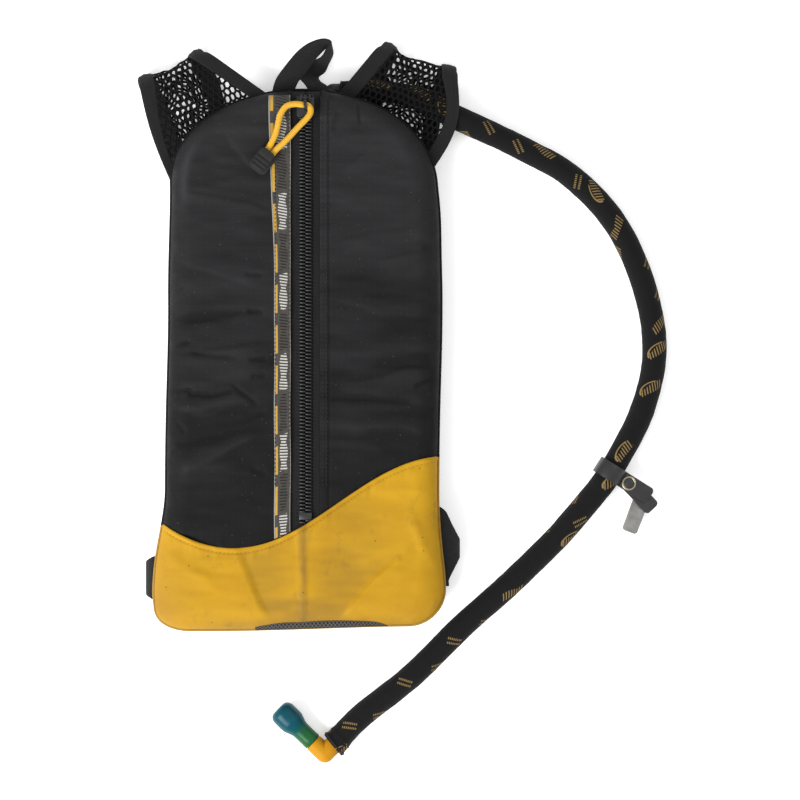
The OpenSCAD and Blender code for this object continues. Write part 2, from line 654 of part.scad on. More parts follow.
module lower_web(s) {
  far = [[9 - flank, 32 - pack_h / 2, 0.9], [14 - flank, 80 - pack_h / 2, 0.9],
    [-85, -66, 0.9], [-79, -40, 0.9]];
  p = smooth(concat([for (q = far) [-s * q.x, q.y, q.z]],
    [for (q = web_line) [s * lock_x, lock_y + q.x, q.y]]), 2);
  color([0.1, 0.1, 0.1]) band(along(p, [for (q = p) [1, 0, 0]], web_w), web_t * 0.8);
}

module lower_web_left() {
  lower_web(-1);
}

module lower_web_right() {
  lower_web(1);
}

// Webbing folded out of the side seam and back under the pack, as x, z and width.
flank = base_w / 2;
tab_left = [[-flank - 0.8, 22.6, 34], [-flank - 4, 22, 34], [-flank - 8, 18, 34], [-flank - 8.6, 11, 33],
  [-flank - 6, 5, 30], [-flank, 2.8, 27], [18 - flank, 2.6, 24]];
tab_right = [[flank + 0.8, 22.6, 52], [flank + 4, 22, 42], [flank + 9.5, 18, 26], [flank + 10.4, 11, 24],
  [flank + 7, 5, 24], [flank, 2.8, 24], [flank - 18, 2.6, 24]];

module web_tab(pts, y) {
  p = smooth([for (q = pts) [q.x, y, q.y]], 3);
  w = smooth([for (q = pts) [q.z, 0]], 3);
  st = [for (i = [0:len(p) - 1]) let (h = heading(p, i), v = [0, 1, 0])
    [p[i] - v * w[i].x / 2, v * w[i].x, cross(h, v)]];
  color([0.1, 0.1, 0.1]) band(st, web_t * 0.8);
}

module web_tab_left() {
  web_tab(tab_left, 40 - pack_h / 2);
}

module web_tab_right() {
  web_tab(tab_right, 63 - pack_h / 2);
}

film_z = back_z + wall + 3.6;
weld_h = 10;
film_top = film_z + film_t + weld_h;
bag_x = 78;
bag_top = 142;
bag_low = -178;
bag_r = 26;
weld_cut = bag_x - bag_r;
cap_y = 105;
port_z = film_top + film_t;
neck_h = 5.4;
cap_z = port_z + 1.8;
cap_h = 6.4;
out_x0 = 50;
out_y0 = -150;
feed_z = port_z + 5.1;

module bag_shape(d) {
  rounded(-bag_x + d, bag_low + d, bag_x - d, bag_top - d, bag_r - d);
}

module bladder_back() {
  color([0.55, 0.75, 0.9]) translate([0, 0, film_z]) linear_extrude(film_t) bag_shape(0);
}

// Welded edge of the bladder inside one box of the plan.
module weld_strip(x0, y0, x1, y1) {
  color([0.45, 0.68, 0.88]) translate([0, 0, film_z + film_t]) linear_extrude(weld_h) intersection() {
    difference() {
      bag_shape(0);
      bag_shape(4);
    }
    translate([x0, y0]) square([x1 - x0, y1 - y0]);
  }
}

module bladder_weld_left() {
  weld_strip(-bag_x, bag_low, -weld_cut, bag_top);
}

module bladder_weld_right() {
  weld_strip(weld_cut, bag_low, bag_x, bag_top);
}

module bladder_weld_top() {
  weld_strip(-weld_cut, 0, weld_cut, bag_top);
}

module bladder_weld_base() {
  weld_strip(-weld_cut, bag_low, weld_cut, 0);
}

module bladder_front() {
  color([0.55, 0.75, 0.9]) translate([0, 0, film_top]) linear_extrude(film_t) difference() {
    bag_shape(0);
    translate([zip_x, cap_y]) circle(r = neck_r - 3, $fn = 64);
    translate([out_x0, out_y0]) circle(r = 4, $fn = 40);
  }
}

module fill_port() {
  color([0.2, 0.45, 0.8]) translate([zip_x, cap_y, port_z]) difference() {
    union() {
      cylinder(r = neck_r + 5, h = 1.4, $fn = 72);
      cylinder(r = neck_r, h = neck_h, $fn = 72);
    }
    translate([0, 0, -1]) cylinder(r = neck_r - 3, h = 20, $fn = 72);
  }
}

module cap_gasket() {
  color([0.9, 0.9, 0.9]) translate([zip_x, cap_y, port_z + neck_h + 0.1]) difference() {
    cylinder(r = neck_r - 0.4, h = 1, $fn = 72);
    translate([0, 0, -1]) cylinder(r = neck_r - 2.6, h = 4, $fn = 72);
  }
}

module fill_cap() {
  color([0.15, 0.35, 0.75]) translate([zip_x, cap_y, cap_z]) difference() {
    cylinder(r = neck_r + 3, h = cap_h, $fn = 72);
    translate([0, 0, -1]) cylinder(r = neck_r + fit, h = port_z + neck_h + 1.2 - cap_z + 1, $fn = 72);
    for (a = [0:30:330]) {
      rotate([0, 0, a]) translate([neck_r + 4.6, 0, -1]) cylinder(r = 3, h = 20, $fn = 32);
    }
  }
}

module outlet_port() {
  color([0.2, 0.45, 0.8]) translate([out_x0, out_y0, port_z]) difference() {
    union() {
      cylinder(r = 9, h = 1.2, $fn = 48);
      cylinder(r = 5.6, h = 8.6, $fn = 48);
      translate([0, 0, feed_z - port_z]) rotate([-90, 0, 0])
        cylinder(r = tube_bore / 2 - 0.5, h = 20, $fn = 32);
    }
    translate([0, 0, -1]) cylinder(r = 2, h = feed_z - port_z + 3, $fn = 32);
    translate([0, 0, feed_z - port_z]) rotate([-90, 0, 0]) cylinder(r = 2, h = 24, $fn = 32);
  }
}

feed_pts = [[out_x0, out_y0 + 9.4, feed_z], [out_x0, -100, feed_z], [out_x0, -20, feed_z],
  [out_x0, 60, feed_z], [out_x0, 110, feed_z], [out_x0, 143, feed_z - 0.15],
  [49, neck_y - 44, feed_z - 1.2], [43, neck_y - 28, feed_z - 6], [31, neck_y - 14, 18.3],
  [exit_x + 1, neck_y - 6, neck_z + 0.6],
  [exit_x, neck_y, neck_z]];

module feed_tube() {
  p = smooth(feed_pts, 3);
  color([0.5, 0.75, 0.9]) cord(p, [for (q = p) tube_d / 2], tube_bore / 2, 10);
}

exit_pts = [[exit_x, neck_y + 0.4, neck_z], [exit_x, exit_y - 10, neck_z],
  [exit_x, exit_y - 5, neck_z - 0.3], [exit_x + 3, exit_y - 0.6, exit_z + 1.6],
  [exit_x + 6.5, exit_y, exit_z + 0.2],
  [exit_x + 9.6, exit_y, exit_z]];

module tube_exit() {
  p = smooth(exit_pts, 3);
  color([0.12, 0.12, 0.12])
    cord(p, [for (q = p) q.y < exit_y - 4.5 && q.x < exit_x + 1 ? tube_d / 2 : 5.4], tube_bore / 2, 10);
}

hose_pts = [[exit_x + 10, exit_y, exit_z], [60, exit_y, 11.6], [91, exit_y - 7, 12.3],
  [122, exit_y - 22, 12.3],
  [155, 174, 10.8], [179, 162, 9.9], [204.5, 148, 9.8], [229.5, 126, 9.8], [247.7, 102.5, 9.8],
  [261, 75.5, 9.8], [270, 48, 9.8], [275, 20, 9.8], [274, -9, 9.8], [264, -44, 10.8],
  [247.5, -76, 12.4], [240.6, -87, 12.4], [233.7, -98, 12.3], [209.6, -127, 10.6],
  [194.6, -143.5, 9.8], [160, -177, 9.8], [125.2, -208, 9.8], [85.5, -247, 10],
  [46.4, -278, 10.6], [27, -298, 10.9]];
hose = smooth(hose_pts, 3);
hose_n = len(hose) - 1;

module drink_tube() {
  color([0.5, 0.75, 0.9]) cord(hose, [for (q = hose) tube_d / 2], tube_bore / 2, 10);
}

// The sleeve is slimmer where it leaves the pack and has a wider hem at the valve.
module drink_sleeve() {
  radii = [for (i = [0:hose_n]) sleeve_d / 2 * (0.79 + 0.21 * ease(i / 9))
    + 0.8 * ease((i - hose_n + 1) / 1)];
  color([0.2, 0.18, 0.15]) cord(hose, radii, tube_d / 2 + 0.6, 12);
}

end_a = 226;
elbow_leg = 13.5;
valve_leg = 12.5;
barb_r = 4.2;
valve_l = 38;
elbow_at = hose_pts[len(hose_pts) - 1] + elbow_leg * [cos(end_a), sin(end_a), 0];

module bite_elbow() {
  color([0.95, 0.7, 0.16]) translate(elbow_at) rotate([0, 0, end_a]) difference() {
    union() {
      rotate([0, -90, 0]) cylinder(r = elbow_d / 2, h = elbow_leg - 0.6, $fn = 48);
      rotate([0, -90, 0]) cylinder(r = tube_bore / 2 - 0.6, h = elbow_leg + 8, $fn = 32);
      sphere(r = elbow_d / 2, $fn = 48);
      rotate([90, 0, 0]) cylinder(r = elbow_d / 2, h = valve_leg, $fn = 48);
      rotate([90, 0, 0]) cylinder(r = barb_r, h = valve_leg + 14, $fn = 48);
    }
    rotate([0, -90, 0]) cylinder(r = 2, h = 60, $fn = 32);
    rotate([90, 0, 0]) cylinder(r = 2, h = 60, $fn = 32);
  }
}

// Bite valve: half profile of the stem and the bulb, turned about the barb.
module bite_valve() {
  b = bulb_d / 2;
  tip = [for (a = [0:10:80]) [b * 0.52 + (b * 0.48) * cos(a), valve_l - 6 + 6 * sin(a)]];
  side = [for (t = [0:0.125:1]) [mix(7.35, b, ease(t)), mix(14, 23, t)]];
  color([0.1, 0.4, 0.48]) translate(elbow_at) rotate([0, 0, end_a]) rotate([90, 0, 0])
    translate([0, 0, valve_leg + 0.3]) rotate_extrude($fn = 64)
      polygon(concat([[barb_r + fit, 0], [6.9, 0], [7.35, 0.6]], side, tip,
        [[b * 0.5, valve_l], [1.2, valve_l], [1.2, 16], [barb_r + fit, 15]]));
}

clip_at = [240.6, -87, 12.4];
clip_a = -32.2;
clip_w = 13;
loop_r = sleeve_d / 2 + 0.9;
snap_u = 17.4;
fold_a = -14.8;
rivet_u = 15.2;
rivet_r = 1.5;
plate_z = clip_at.z - 3.5;

module clip_frame() {
  translate(clip_at) rotate([0, 0, clip_a]) children();
}

module clip_strap() {
  color([0.08, 0.08, 0.08]) clip_frame() difference() {
    union() {
      translate([0, clip_w / 2, 0]) rotate([90, 0, 0]) cylinder(r = loop_r + 1.6, h = clip_w, $fn = 64);
      translate([0, 0, 0.1]) linear_extrude(1.6) rounded(2, -clip_w / 2, 37.2, clip_w / 2, 3.2);
      translate([loop_r + 0.5, -clip_w / 2, -2.1]) cube([snap_u - loop_r + 5, clip_w, 1.6]);
      translate([snap_u, 0, -2.1]) rotate([0, 0, fold_a]) linear_extrude(1.6)
        rounded(-4, -clip_w / 2, 27.8, clip_w / 2, 3.2);
    }
    translate([0, clip_w, 0]) rotate([90, 0, 0]) cylinder(r = loop_r, h = 2 * clip_w, $fn = 64);
    translate([snap_u, 0, -5]) cylinder(r = 2.2, h = 12, $fn = 32);
    translate([snap_u, 0, -5]) rotate([0, 0, fold_a]) translate([rivet_u, 0, 0])
      cylinder(r = rivet_r + 0.1, h = 5, $fn = 32);
  }
}

module snap_stud() {
  color([0.1, 0.1, 0.1]) clip_frame() translate([snap_u, 0, 0]) {
    translate([0, 0, -3.3]) cylinder(r = 4.6, h = 1.1, $fn = 48);
    translate([0, 0, -3]) cylinder(r = 2.1, h = 5, $fn = 32);
    translate([0, 0, 1.8]) cylinder(r = 3.9, h = 0.8, $fn = 48);
  }
}

module snap_ring() {
  color([0.84, 0.8, 0.72]) clip_frame() translate([snap_u, 0, 1.75]) difference() {
    cylinder(r = 5.6, h = 1.4, $fn = 64);
    translate([0, 0, -1]) cylinder(r = 4.1, h = 4, $fn = 48);
  }
}

module rivet_frame() {
  clip_frame() translate([snap_u, 0, 0]) rotate([0, 0, fold_a]) translate([rivet_u, 0, 0]) children();
}

module clip_rivet() {
  color([0.6, 0.58, 0.55]) rivet_frame() {
    translate([0, 0, -0.45]) cylinder(r = 2.6, h = 0.45, $fn = 40);
    translate([0, 0, -4.2]) cylinder(r = rivet_r, h = 4, $fn = 32);
    translate([0, 0, -4.3]) cylinder(r = 2.8, h = 0.7, $fn = 40);
  }
}

jaw_turn = 249.7 - clip_a - fold_a;
pin_u = 12;
pin_r = 1;
pin_z = -7;
jaw_tilt = 11;

module jaw_frame() {
  rivet_frame() rotate([0, 0, jaw_turn]) children();
}

module clip_plate() {
  color([0.65, 0.63, 0.6]) jaw_frame() difference() {
    union() {
      translate([0, 0, -3.5]) linear_extrude(1) rounded(-5, -6.2, 29, 6.2, 2.6);
      for (y = [-5.5, 4.4]) {
        translate([pin_u - 2.5, y, pin_z - 2]) cube([5, 1.1, 5.8]);
      }
    }
    translate([0, 0, -6]) cylinder(r = rivet_r + fit, h = 5, $fn = 32);
    translate([pin_u, 10, pin_z]) rotate([90, 0, 0]) cylinder(r = pin_r + 0.03, h = 20, $fn = 32);
  }
}

module clip_pin() {
  color([0.6, 0.6, 0.6]) jaw_frame() translate([pin_u, 5.7, pin_z]) rotate([90, 0, 0])
    cylinder(r = pin_r, h = 11.4, $fn = 32);
}

module clip_spring() {
  turns = [for (a = [0:24:1080]) [1.7 * cos(a), 1.7 * sin(a), -1.1 + 2.2 * a / 1080]];
  wire = concat([[1.7, -3, -1.1]], turns, [[1.7, 3, 1.1]]);
  color([0.55, 0.55, 0.55]) jaw_frame() translate([pin_u, 0, pin_z]) rotate([90, 0, 0])
    cord(wire, [for (q = wire) 0.32], 0, 6);
}

module clip_jaw() {
  color([0.5, 0.49, 0.47]) jaw_frame() translate([pin_u, 0, pin_z]) difference() {
    union() {
      rotate([0, -jaw_tilt, 0]) translate([-15, -4, -0.5]) cube([29.4, 8, 1]);
      for (y = [-1.8, 4]) {
        translate([0, y, 0]) rotate([90, 0, 0]) cylinder(r = 2, h = 2.2, $fn = 40);
      }
    }
    translate([0, 10, 0]) rotate([90, 0, 0]) cylinder(r = pin_r + fit, h = 20, $fn = 40);
    translate([-2.6, -1.6, -3]) cube([5.2, 3.2, 6]);
  }
}

front_panel_left();
front_panel_right();
lower_panel();
back_panel();
back_pad();
front_foam();
back_foam();
drain_mesh();
trim_tape();
zip_tape_left();
zip_tape_right();
zip_coil_left();
zip_coil_right();
zip_bottom_stop();
zip_slider();
pull_tab();
pull_cord();
pull_grip();
grab_handle();
shoulder_mesh_left();
shoulder_mesh_right();
strap_binding_in_left();
strap_binding_out_left();
strap_binding_in_right();
strap_binding_out_right();
strap_loop_left();
strap_loop_right();
ladder_lock_left();
ladder_lock_right();
lower_web_left();
lower_web_right();
web_tab_left();
web_tab_right();
bladder_back();
bladder_weld_left();
bladder_weld_right();
bladder_weld_top();
bladder_weld_base();
bladder_front();
fill_port();
cap_gasket();
fill_cap();
outlet_port();
feed_tube();
tube_exit();
drink_tube();
drink_sleeve();
bite_elbow();
bite_valve();
clip_strap();
snap_stud();
snap_ring();
clip_rivet();
clip_plate();
clip_pin();
clip_spring();
clip_jaw();
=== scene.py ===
"""A zipped hydration pack with its drink hose, dressed for a studio photograph."""
import math

import bpy
import numpy as np
from mathutils import Matrix, Vector


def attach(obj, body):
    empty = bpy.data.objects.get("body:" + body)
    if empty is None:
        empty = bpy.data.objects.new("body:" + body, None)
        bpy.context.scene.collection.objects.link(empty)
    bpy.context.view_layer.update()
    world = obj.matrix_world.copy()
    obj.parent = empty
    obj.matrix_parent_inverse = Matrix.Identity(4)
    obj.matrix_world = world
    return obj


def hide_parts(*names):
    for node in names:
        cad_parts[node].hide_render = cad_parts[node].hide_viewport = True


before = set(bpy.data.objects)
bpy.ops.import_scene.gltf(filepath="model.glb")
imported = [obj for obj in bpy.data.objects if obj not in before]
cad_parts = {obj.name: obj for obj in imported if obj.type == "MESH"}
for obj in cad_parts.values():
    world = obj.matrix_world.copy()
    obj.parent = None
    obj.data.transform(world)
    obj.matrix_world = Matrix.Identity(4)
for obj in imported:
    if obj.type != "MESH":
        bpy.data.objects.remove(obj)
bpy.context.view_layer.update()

bl_info = {
    "name": "Hydration Pack",
    "version": (1, 0, 0),
    "blender": (4, 5, 0),
    "location": "View3D > Sidebar > Pack",
    "description": "Builds the cloth, hose and hardware of a zipped hydration pack",
    "category": "Add Mesh",
}

MM = 0.001
TAU = 2 * math.pi
MATS = {}


# Lines and surfaces of the pack, in millimetres
ARCH_HALF, ARCH_Y, ARCH_RISE = 102, 139, 71
CORNER_X, CORNER_Y, CORNER_R = 85, -182, 28
PACK_WIDTH, PACK_LENGTH = 226, 420
SEAM_Z, LOFT, LOFT_ROLL = 24, 14, 18
BACK_Z, BACK_ROLL = 8, 16
ELBOW_AT, VALVE_WAY = np.array([17.622, -307.711, 10.9]), np.array([-0.7193, 0.6947, 0.0])


def ease(t):
    """A soft step from 0 to 1."""
    c = np.clip(t, 0.0, 1.0)
    return c * c * (3 - 2 * c)


def edge_x(y):
    """Half width of the pack's outline at height y."""
    y = np.asarray(y, float)
    side = ARCH_HALF + 3.5 * ease((ARCH_Y - y) / 90) + 7.5 * ease((-100 - y) / 82)
    arch = ARCH_HALF * np.sqrt(np.clip(1 - ((y - ARCH_Y) / ARCH_RISE) ** 2, 0, 1))
    foot = CORNER_X + np.sqrt(np.clip(CORNER_R**2 - np.clip(CORNER_Y - y, 0, None) ** 2, 0, None))
    return np.where(y > ARCH_Y, arch, np.where(y < CORNER_Y, foot, side))


def top_y(x):
    """Height of the outline's arch at x."""
    return ARCH_Y + ARCH_RISE * np.sqrt(np.clip(1 - (np.asarray(x, float) / ARCH_HALF) ** 2, 0, 1))


def base_y(x):
    """Height of the outline's lower edge at x."""
    o = np.clip(np.abs(x) - CORNER_X, 0, CORNER_R)
    return CORNER_Y - np.sqrt(np.clip(CORNER_R**2 - o * o, 0, None))


def on_arch(a, s=1):
    """Points of the outline's arch at angles a, mirrored for s below zero."""
    return np.stack([s * ARCH_HALF * np.cos(a), ARCH_Y + ARCH_RISE * np.sin(a)], 1)


def depth_in(x, y):
    """About how far a place lies inside the outline."""
    ds = np.maximum(edge_x(y) - np.abs(x), 1e-3)
    dt = np.maximum(top_y(x) - y, 1e-3)
    db = np.maximum(y - base_y(x), 1e-3)
    return 1 / np.sqrt(1 / ds**2 + 0.25 / dt**2 + 1 / db**2)


def skin(x, y):
    """Height of the padded front before it is creased."""
    d = depth_in(x, y)
    return SEAM_Z + LOFT * np.sqrt(np.clip(1 - (1 - np.minimum(1, d / LOFT_ROLL)) ** 2, 0, 1))


def wave(x):
    """Sewn edge between the black front and the yellow foot."""
    return -111 + 35.5 * np.sin(np.pi * (np.asarray(x, float) - 29) / 162)


def foot_end(s):
    """Where the sewn edge meets the outline, left for s below zero."""
    return float(wave(s * edge_x(wave(s * 108.0))))


def settle(points):
    """How the filled cloth sags: bowed to the right at half height, to the left at the foot."""
    x, y = points[..., 0], points[..., 1]
    moved = np.array(points, float)
    outer = ease((np.abs(x) - 22) / 55)
    moved[..., 0] += outer * (2.6 * np.exp(-(((y - 40) / 75) ** 2)) - 2.2 * ease((-100 - y) / 60))
    moved[..., 0] += 3.0 * ease((x - 22) / 55) * np.exp(-(((y - 116) / 34) ** 2))
    moved[..., 0] -= 4 * ease((-75 - x) / 30) * ease((-185 - y) / 20)
    moved[..., 1] += 3.8 * ease((x + 70) / 170) * ease((-140 - y) / 55)
    return moved


def smooth(points, k):
    """Catmull-Rom line through the points, k steps a span."""
    p = np.array(points, float)
    out = []
    for i in range(len(p) - 1):
        a, b = p[i], p[i + 1]
        m0 = (b - p[max(i - 1, 0)]) / 2
        m1 = (p[min(i + 2, len(p) - 1)] - a) / 2
        for j in range(k):
            t = j / k
            out.append((2 * t**3 - 3 * t**2 + 1) * a + (t**3 - 2 * t**2 + t) * m0
                       + (3 * t**2 - 2 * t**3) * b + (t**3 - t**2) * m1)
    return np.array(out + [p[-1]])


def distances(line):
    """Distance along a line to each of its points."""
    return np.concatenate([[0], np.cumsum(np.linalg.norm(np.diff(line, axis=0), axis=1))])


def between(rows, s, t):
    """Rows known at the distances s, worked out at the distances t."""
    return np.stack([np.interp(t, s, column) for column in np.asarray(rows, float).T], 1)


def respace(line, step):
    """The same line with points about a step apart, and the distance along it."""
    s = distances(line)
    n = max(2, int(round(s[-1] / step)) + 1)
    t = np.linspace(0, s[-1], n)
    return between(line, s, t), t


def unit(v):
    """Vectors of length one."""
    return v / np.maximum(np.linalg.norm(v, axis=-1, keepdims=True), 1e-9)


def headings(line):
    """The way a line runs at each of its points."""
    return unit(np.gradient(np.array(line, float), axis=0))


def noise(x, y, seed):
    """Smooth value noise between -1 and 1."""
    cells = 97
    g = np.random.default_rng(seed).random((cells, cells)) * 2 - 1
    x, y = np.broadcast_arrays(np.asarray(x, float), np.asarray(y, float))
    i, j = np.floor(x).astype(int), np.floor(y).astype(int)
    u, v = ease(x - i), ease(y - j)

    def at(a, b):
        return g[(i + a) % cells, (j + b) % cells]

    return (at(0, 0) * (1 - u) + at(1, 0) * u) * (1 - v) + (at(0, 1) * (1 - u) + at(1, 1) * u) * v


# Meshes
def shown(name, mesh, slot, body, stands_for=()):
    """A finished piece at the origin, riding on its body."""
    obj = bpy.data.objects.new(name, mesh)
    bpy.context.collection.objects.link(obj)
    mesh.materials.append(MATS[slot])
    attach(obj, body)
    if stands_for:
        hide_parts(*stands_for)
    return obj


def mesh_of(name, points, faces, uvs=None):
    """A mesh from millimetre points, with the corner uvs of each point."""
    mesh = bpy.data.meshes.new(name)
    points = np.asarray(points, float).reshape(-1, 3)
    mesh.from_pydata((points * MM).tolist(), [], [list(map(int, f)) for f in faces])
    if uvs is not None:
        layer = mesh.uv_layers.new(name="UVMap")
        index = np.zeros(len(mesh.loops), np.int32)
        mesh.loops.foreach_get("vertex_index", index)
        layer.data.foreach_set("uv", np.asarray(uvs, float).reshape(-1, 2)[index].ravel())
    mesh.polygons.foreach_set("use_smooth", [True] * len(mesh.polygons))
    mesh.validate()
    return mesh


def grid_faces(m, n, wrap_n=False):
    """Faces of m rows of n points, closed round each row if wrap_n."""
    a = np.arange(m * n).reshape(m, n)
    if wrap_n:
        a = np.hstack([a, a[:, :1]])
    return np.stack([a[:-1, :-1], a[:-1, 1:], a[1:, 1:], a[1:, :-1]], -1).reshape(-1, 4)


def active(obj):
    """Selects one object alone."""
    bpy.ops.object.select_all(action="DESELECT")
    obj.select_set(True)
    bpy.context.view_layer.objects.active = obj


def edited(obj, *steps):
    """Runs steps on the whole mesh in edit mode."""
    active(obj)
    bpy.ops.object.mode_set(mode="EDIT")
    bpy.ops.mesh.select_all(action="SELECT")
    for step, values in steps:
        step(**values)
    bpy.ops.object.mode_set(mode="OBJECT")


def modify(obj, kind, **values):
    """Adds a modifier, sets it and applies it."""
    active(obj)
    bpy.ops.object.modifier_add(type=kind)
    mod = obj.modifiers[-1]
    for key, value in values.items():
        setattr(mod, key, value)
    bpy.ops.object.modifier_apply(modifier=mod.name)
    return obj


def grid_obj(name, rows, us, vs, slot, body, stands_for=(), wrap=False, caps=False, flip=False,
             places=None):
    """A piece from a grid of points. us and vs, or places, put the pattern on it."""
    rows = np.asarray(rows, float)
    m, n = rows.shape[:2]
    faces = grid_faces(m, n, wrap_n=wrap)
    us, vs = np.asarray(us, float), np.asarray(vs, float)
    wide = n if wrap else n - 1
    iu = np.tile(np.stack([np.arange(wide), np.arange(wide) + 1, np.arange(wide) + 1,
                           np.arange(wide)], 1), (m - 1, 1))
    iv = np.repeat(np.arange(m - 1), wide)[:, None] + np.array([0, 0, 1, 1])
    uv = np.stack([us[iu], vs[iv]], -1) if places is None else np.asarray(places, float)[iv, iu]
    if flip:
        faces, uv = faces[:, ::-1], uv[:, ::-1]
    faces = faces.tolist()
    corner_uv = [uv.reshape(-1, 2)]
    if caps:
        ends = [list(range(n))[::-1], [(m - 1) * n + k for k in range(n)]]
        faces += [e[::-1] for e in ends] if flip else ends
        corner_uv.append(np.zeros((2 * n, 2)))
    mesh = bpy.data.meshes.new(name)
    mesh.from_pydata((rows.reshape(-1, 3) * MM).tolist(), [], faces)
    mesh.uv_layers.new(name="UVMap").data.foreach_set("uv", np.concatenate(corner_uv).ravel())
    mesh.polygons.foreach_set("use_smooth", [True] * len(mesh.polygons))
    mesh.update()
    return shown(name, mesh, slot, body, stands_for)


def section(count, sharp_x=0.22, sharp_y=0.55):
    """A rounded flat section, one unit wide and one unit thick."""
    a = np.linspace(0, TAU, count, endpoint=False)
    c, s = np.cos(a), np.sin(a)
    return np.stack([np.sign(c) * np.abs(c) ** sharp_x, np.sign(s) * np.abs(s) ** sharp_y], 1) / 2


def ribbon(name, line, across, normals, thick, slot, body, stands_for=(), count=20, crown=0.0):
    """A flat band with rounded edges. across holds full width vectors."""
    line, across, normals = (np.asarray(v, float) for v in (line, across, normals))
    sec = section(count)
    lift = crown * (1 - (2 * sec[:, 0]) ** 2)
    rows = (line[:, None] + across[:, None] * sec[None, :, :1]
            + normals[:, None] * (sec[None, :, 1:] * thick + lift[None, :, None]))
    s = distances(line)
    width = np.linalg.norm(across, axis=1).mean()
    us = np.append(sec[:, 0], sec[0, 0]) * width
    return grid_obj(name, rows, us, s, slot, body, stands_for, wrap=True, caps=True)


def reshape(obj, change):
    """Moves the points of a mesh, given in millimetres."""
    mesh = obj.data
    points = np.empty(len(mesh.vertices) * 3)
    mesh.vertices.foreach_get("co", points)
    mesh.vertices.foreach_set("co", (change(points.reshape(-1, 3) / MM) * MM).ravel())
    mesh.update()


def flat_band(line, way, width, square=True):
    """Widths and normals of a band whose width lies along way."""
    line, h = np.asarray(line, float), headings(line)
    w = unit(np.broadcast_to(np.asarray(way, float), line.shape))
    if square:
        w = unit(w - h * np.sum(w * h, 1, keepdims=True))
    width = np.broadcast_to(np.asarray(width, float), (len(line),))[:, None]
    return w * width, unit(np.cross(h, w))


def tube(name, line, radii, slot, body, stands_for=(), sides=20, up=(0, 0, 1), caps=True):
    """A round cord along a line, with its seam on the underside."""
    line, h = np.asarray(line, float), headings(line)
    side = unit(np.cross(h, np.asarray(up, float)))
    top = np.cross(side, h)
    a = -np.pi / 2 + np.linspace(0, TAU, sides, endpoint=False)
    radii = np.broadcast_to(np.asarray(radii, float), (len(line),))
    rows = line[:, None] + radii[:, None, None] * (
        side[:, None] * np.cos(a)[None, :, None] + top[:, None] * np.sin(a)[None, :, None])
    s = distances(line)
    us = np.linspace(0, TAU * float(np.mean(radii)), sides + 1)
    return grid_obj(name, rows, us, s, slot, body, stands_for, wrap=True, caps=caps)


def many(name, shape, faces, places, slot, body):
    """One small shape at many places, each an origin and three axes."""
    shape = np.asarray(shape, float)
    o, ax, ay, az = (np.asarray(v, float) for v in places)
    pts = (o[:, None] + shape[None, :, :1] * ax[:, None] + shape[None, :, 1:2] * ay[:, None]
           + shape[None, :, 2:] * az[:, None])
    step = len(shape)
    every = [[i * step + k for k in f] for i in range(len(o)) for f in faces]
    return shown(name, mesh_of(name, pts, every), slot, body)


def bead(rings, sides):
    """A closed lathe shape along x: (place, radius) rings between two poles."""
    pts, faces = [[rings[0][0], 0, 0]], []
    for x, r in rings[1:-1]:
        pts += [[x, r * math.cos(TAU * k / sides), r * math.sin(TAU * k / sides)]
                for k in range(sides)]
    pts.append([rings[-1][0], 0, 0])
    last, m = len(pts) - 1, len(rings) - 2
    for k in range(sides):
        j = (k + 1) % sides
        faces.append([0, 1 + j, 1 + k])
        for i in range(m - 1):
            a, b = 1 + i * sides, 1 + (i + 1) * sides
            faces.append([a + k, a + j, b + j, b + k])
        a = 1 + (m - 1) * sides
        faces.append([a + k, a + j, last])
    return np.array(pts), faces


STITCH = bead([(-0.5, 0), (-0.4, 0.75), (0, 1), (0.4, 0.75), (0.5, 0)], 5)


def stitches(name, lines, slot, body, length=2.3, gap=1.0, r=0.3, sink=0.05):
    """Rows of sewing stitches. Each line is points with the normals they lie on."""
    o, ax, ay, az = [], [], [], []
    for points, normals in lines:
        s = distances(points)
        count = max(1, int(s[-1] / (length + gap)))
        at = (np.arange(count) + 0.5) * s[-1] / count
        lo, hi = (between(points, s, at + k * length) for k in (-0.5, 0.5))
        nrm = unit(between(np.broadcast_to(normals, np.shape(points)), s, at))
        h = unit(hi - lo)
        o.append((lo + hi) / 2 + nrm * (r * 0.55 - sink))
        ax.append(h * length)
        ay.append(unit(np.cross(nrm, h)) * r * 1.15)
        az.append(nrm * r * 0.8)
    return many(name, *STITCH, [np.concatenate(v) for v in (o, ax, ay, az)], slot, body)


BEVEL_ANGLE, SMOOTH_ANGLE = math.radians(35), math.radians(38)


def dressed(node, slot, body, bevel, segments=2):
    """The CAD node's own shape as a clean mesh with rounded edges."""
    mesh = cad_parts[node].data.copy()
    mesh.materials.clear()
    copy = shown("dressed_" + node, mesh, slot, body, (node,))
    edited(copy, (bpy.ops.mesh.remove_doubles, {"threshold": 0.00002}),
           (bpy.ops.mesh.dissolve_limited, {"angle_limit": math.radians(1.5)}),
           (bpy.ops.mesh.normals_make_consistent, {"inside": False}))
    if bevel:
        modify(copy, "BEVEL", width=bevel * MM, segments=segments, limit_method="ANGLE",
               angle_limit=BEVEL_ANGLE, harden_normals=False)
    active(copy)
    bpy.ops.object.shade_smooth_by_angle(angle=SMOOTH_ANGLE)
    return copy


# Materials
def lin(r, g, b, share=0.47):
    """A linear colour from screen values of 0 to 255, darkened for the bright studio."""
    return tuple(share * (((c / 255 + 0.055) / 1.055) ** 2.4 if c > 10 else c / 255 / 12.92)
                 for c in (r, g, b)) + (1.0,)


SCATTER = 12.9898  # turns a step's number into an uneven size


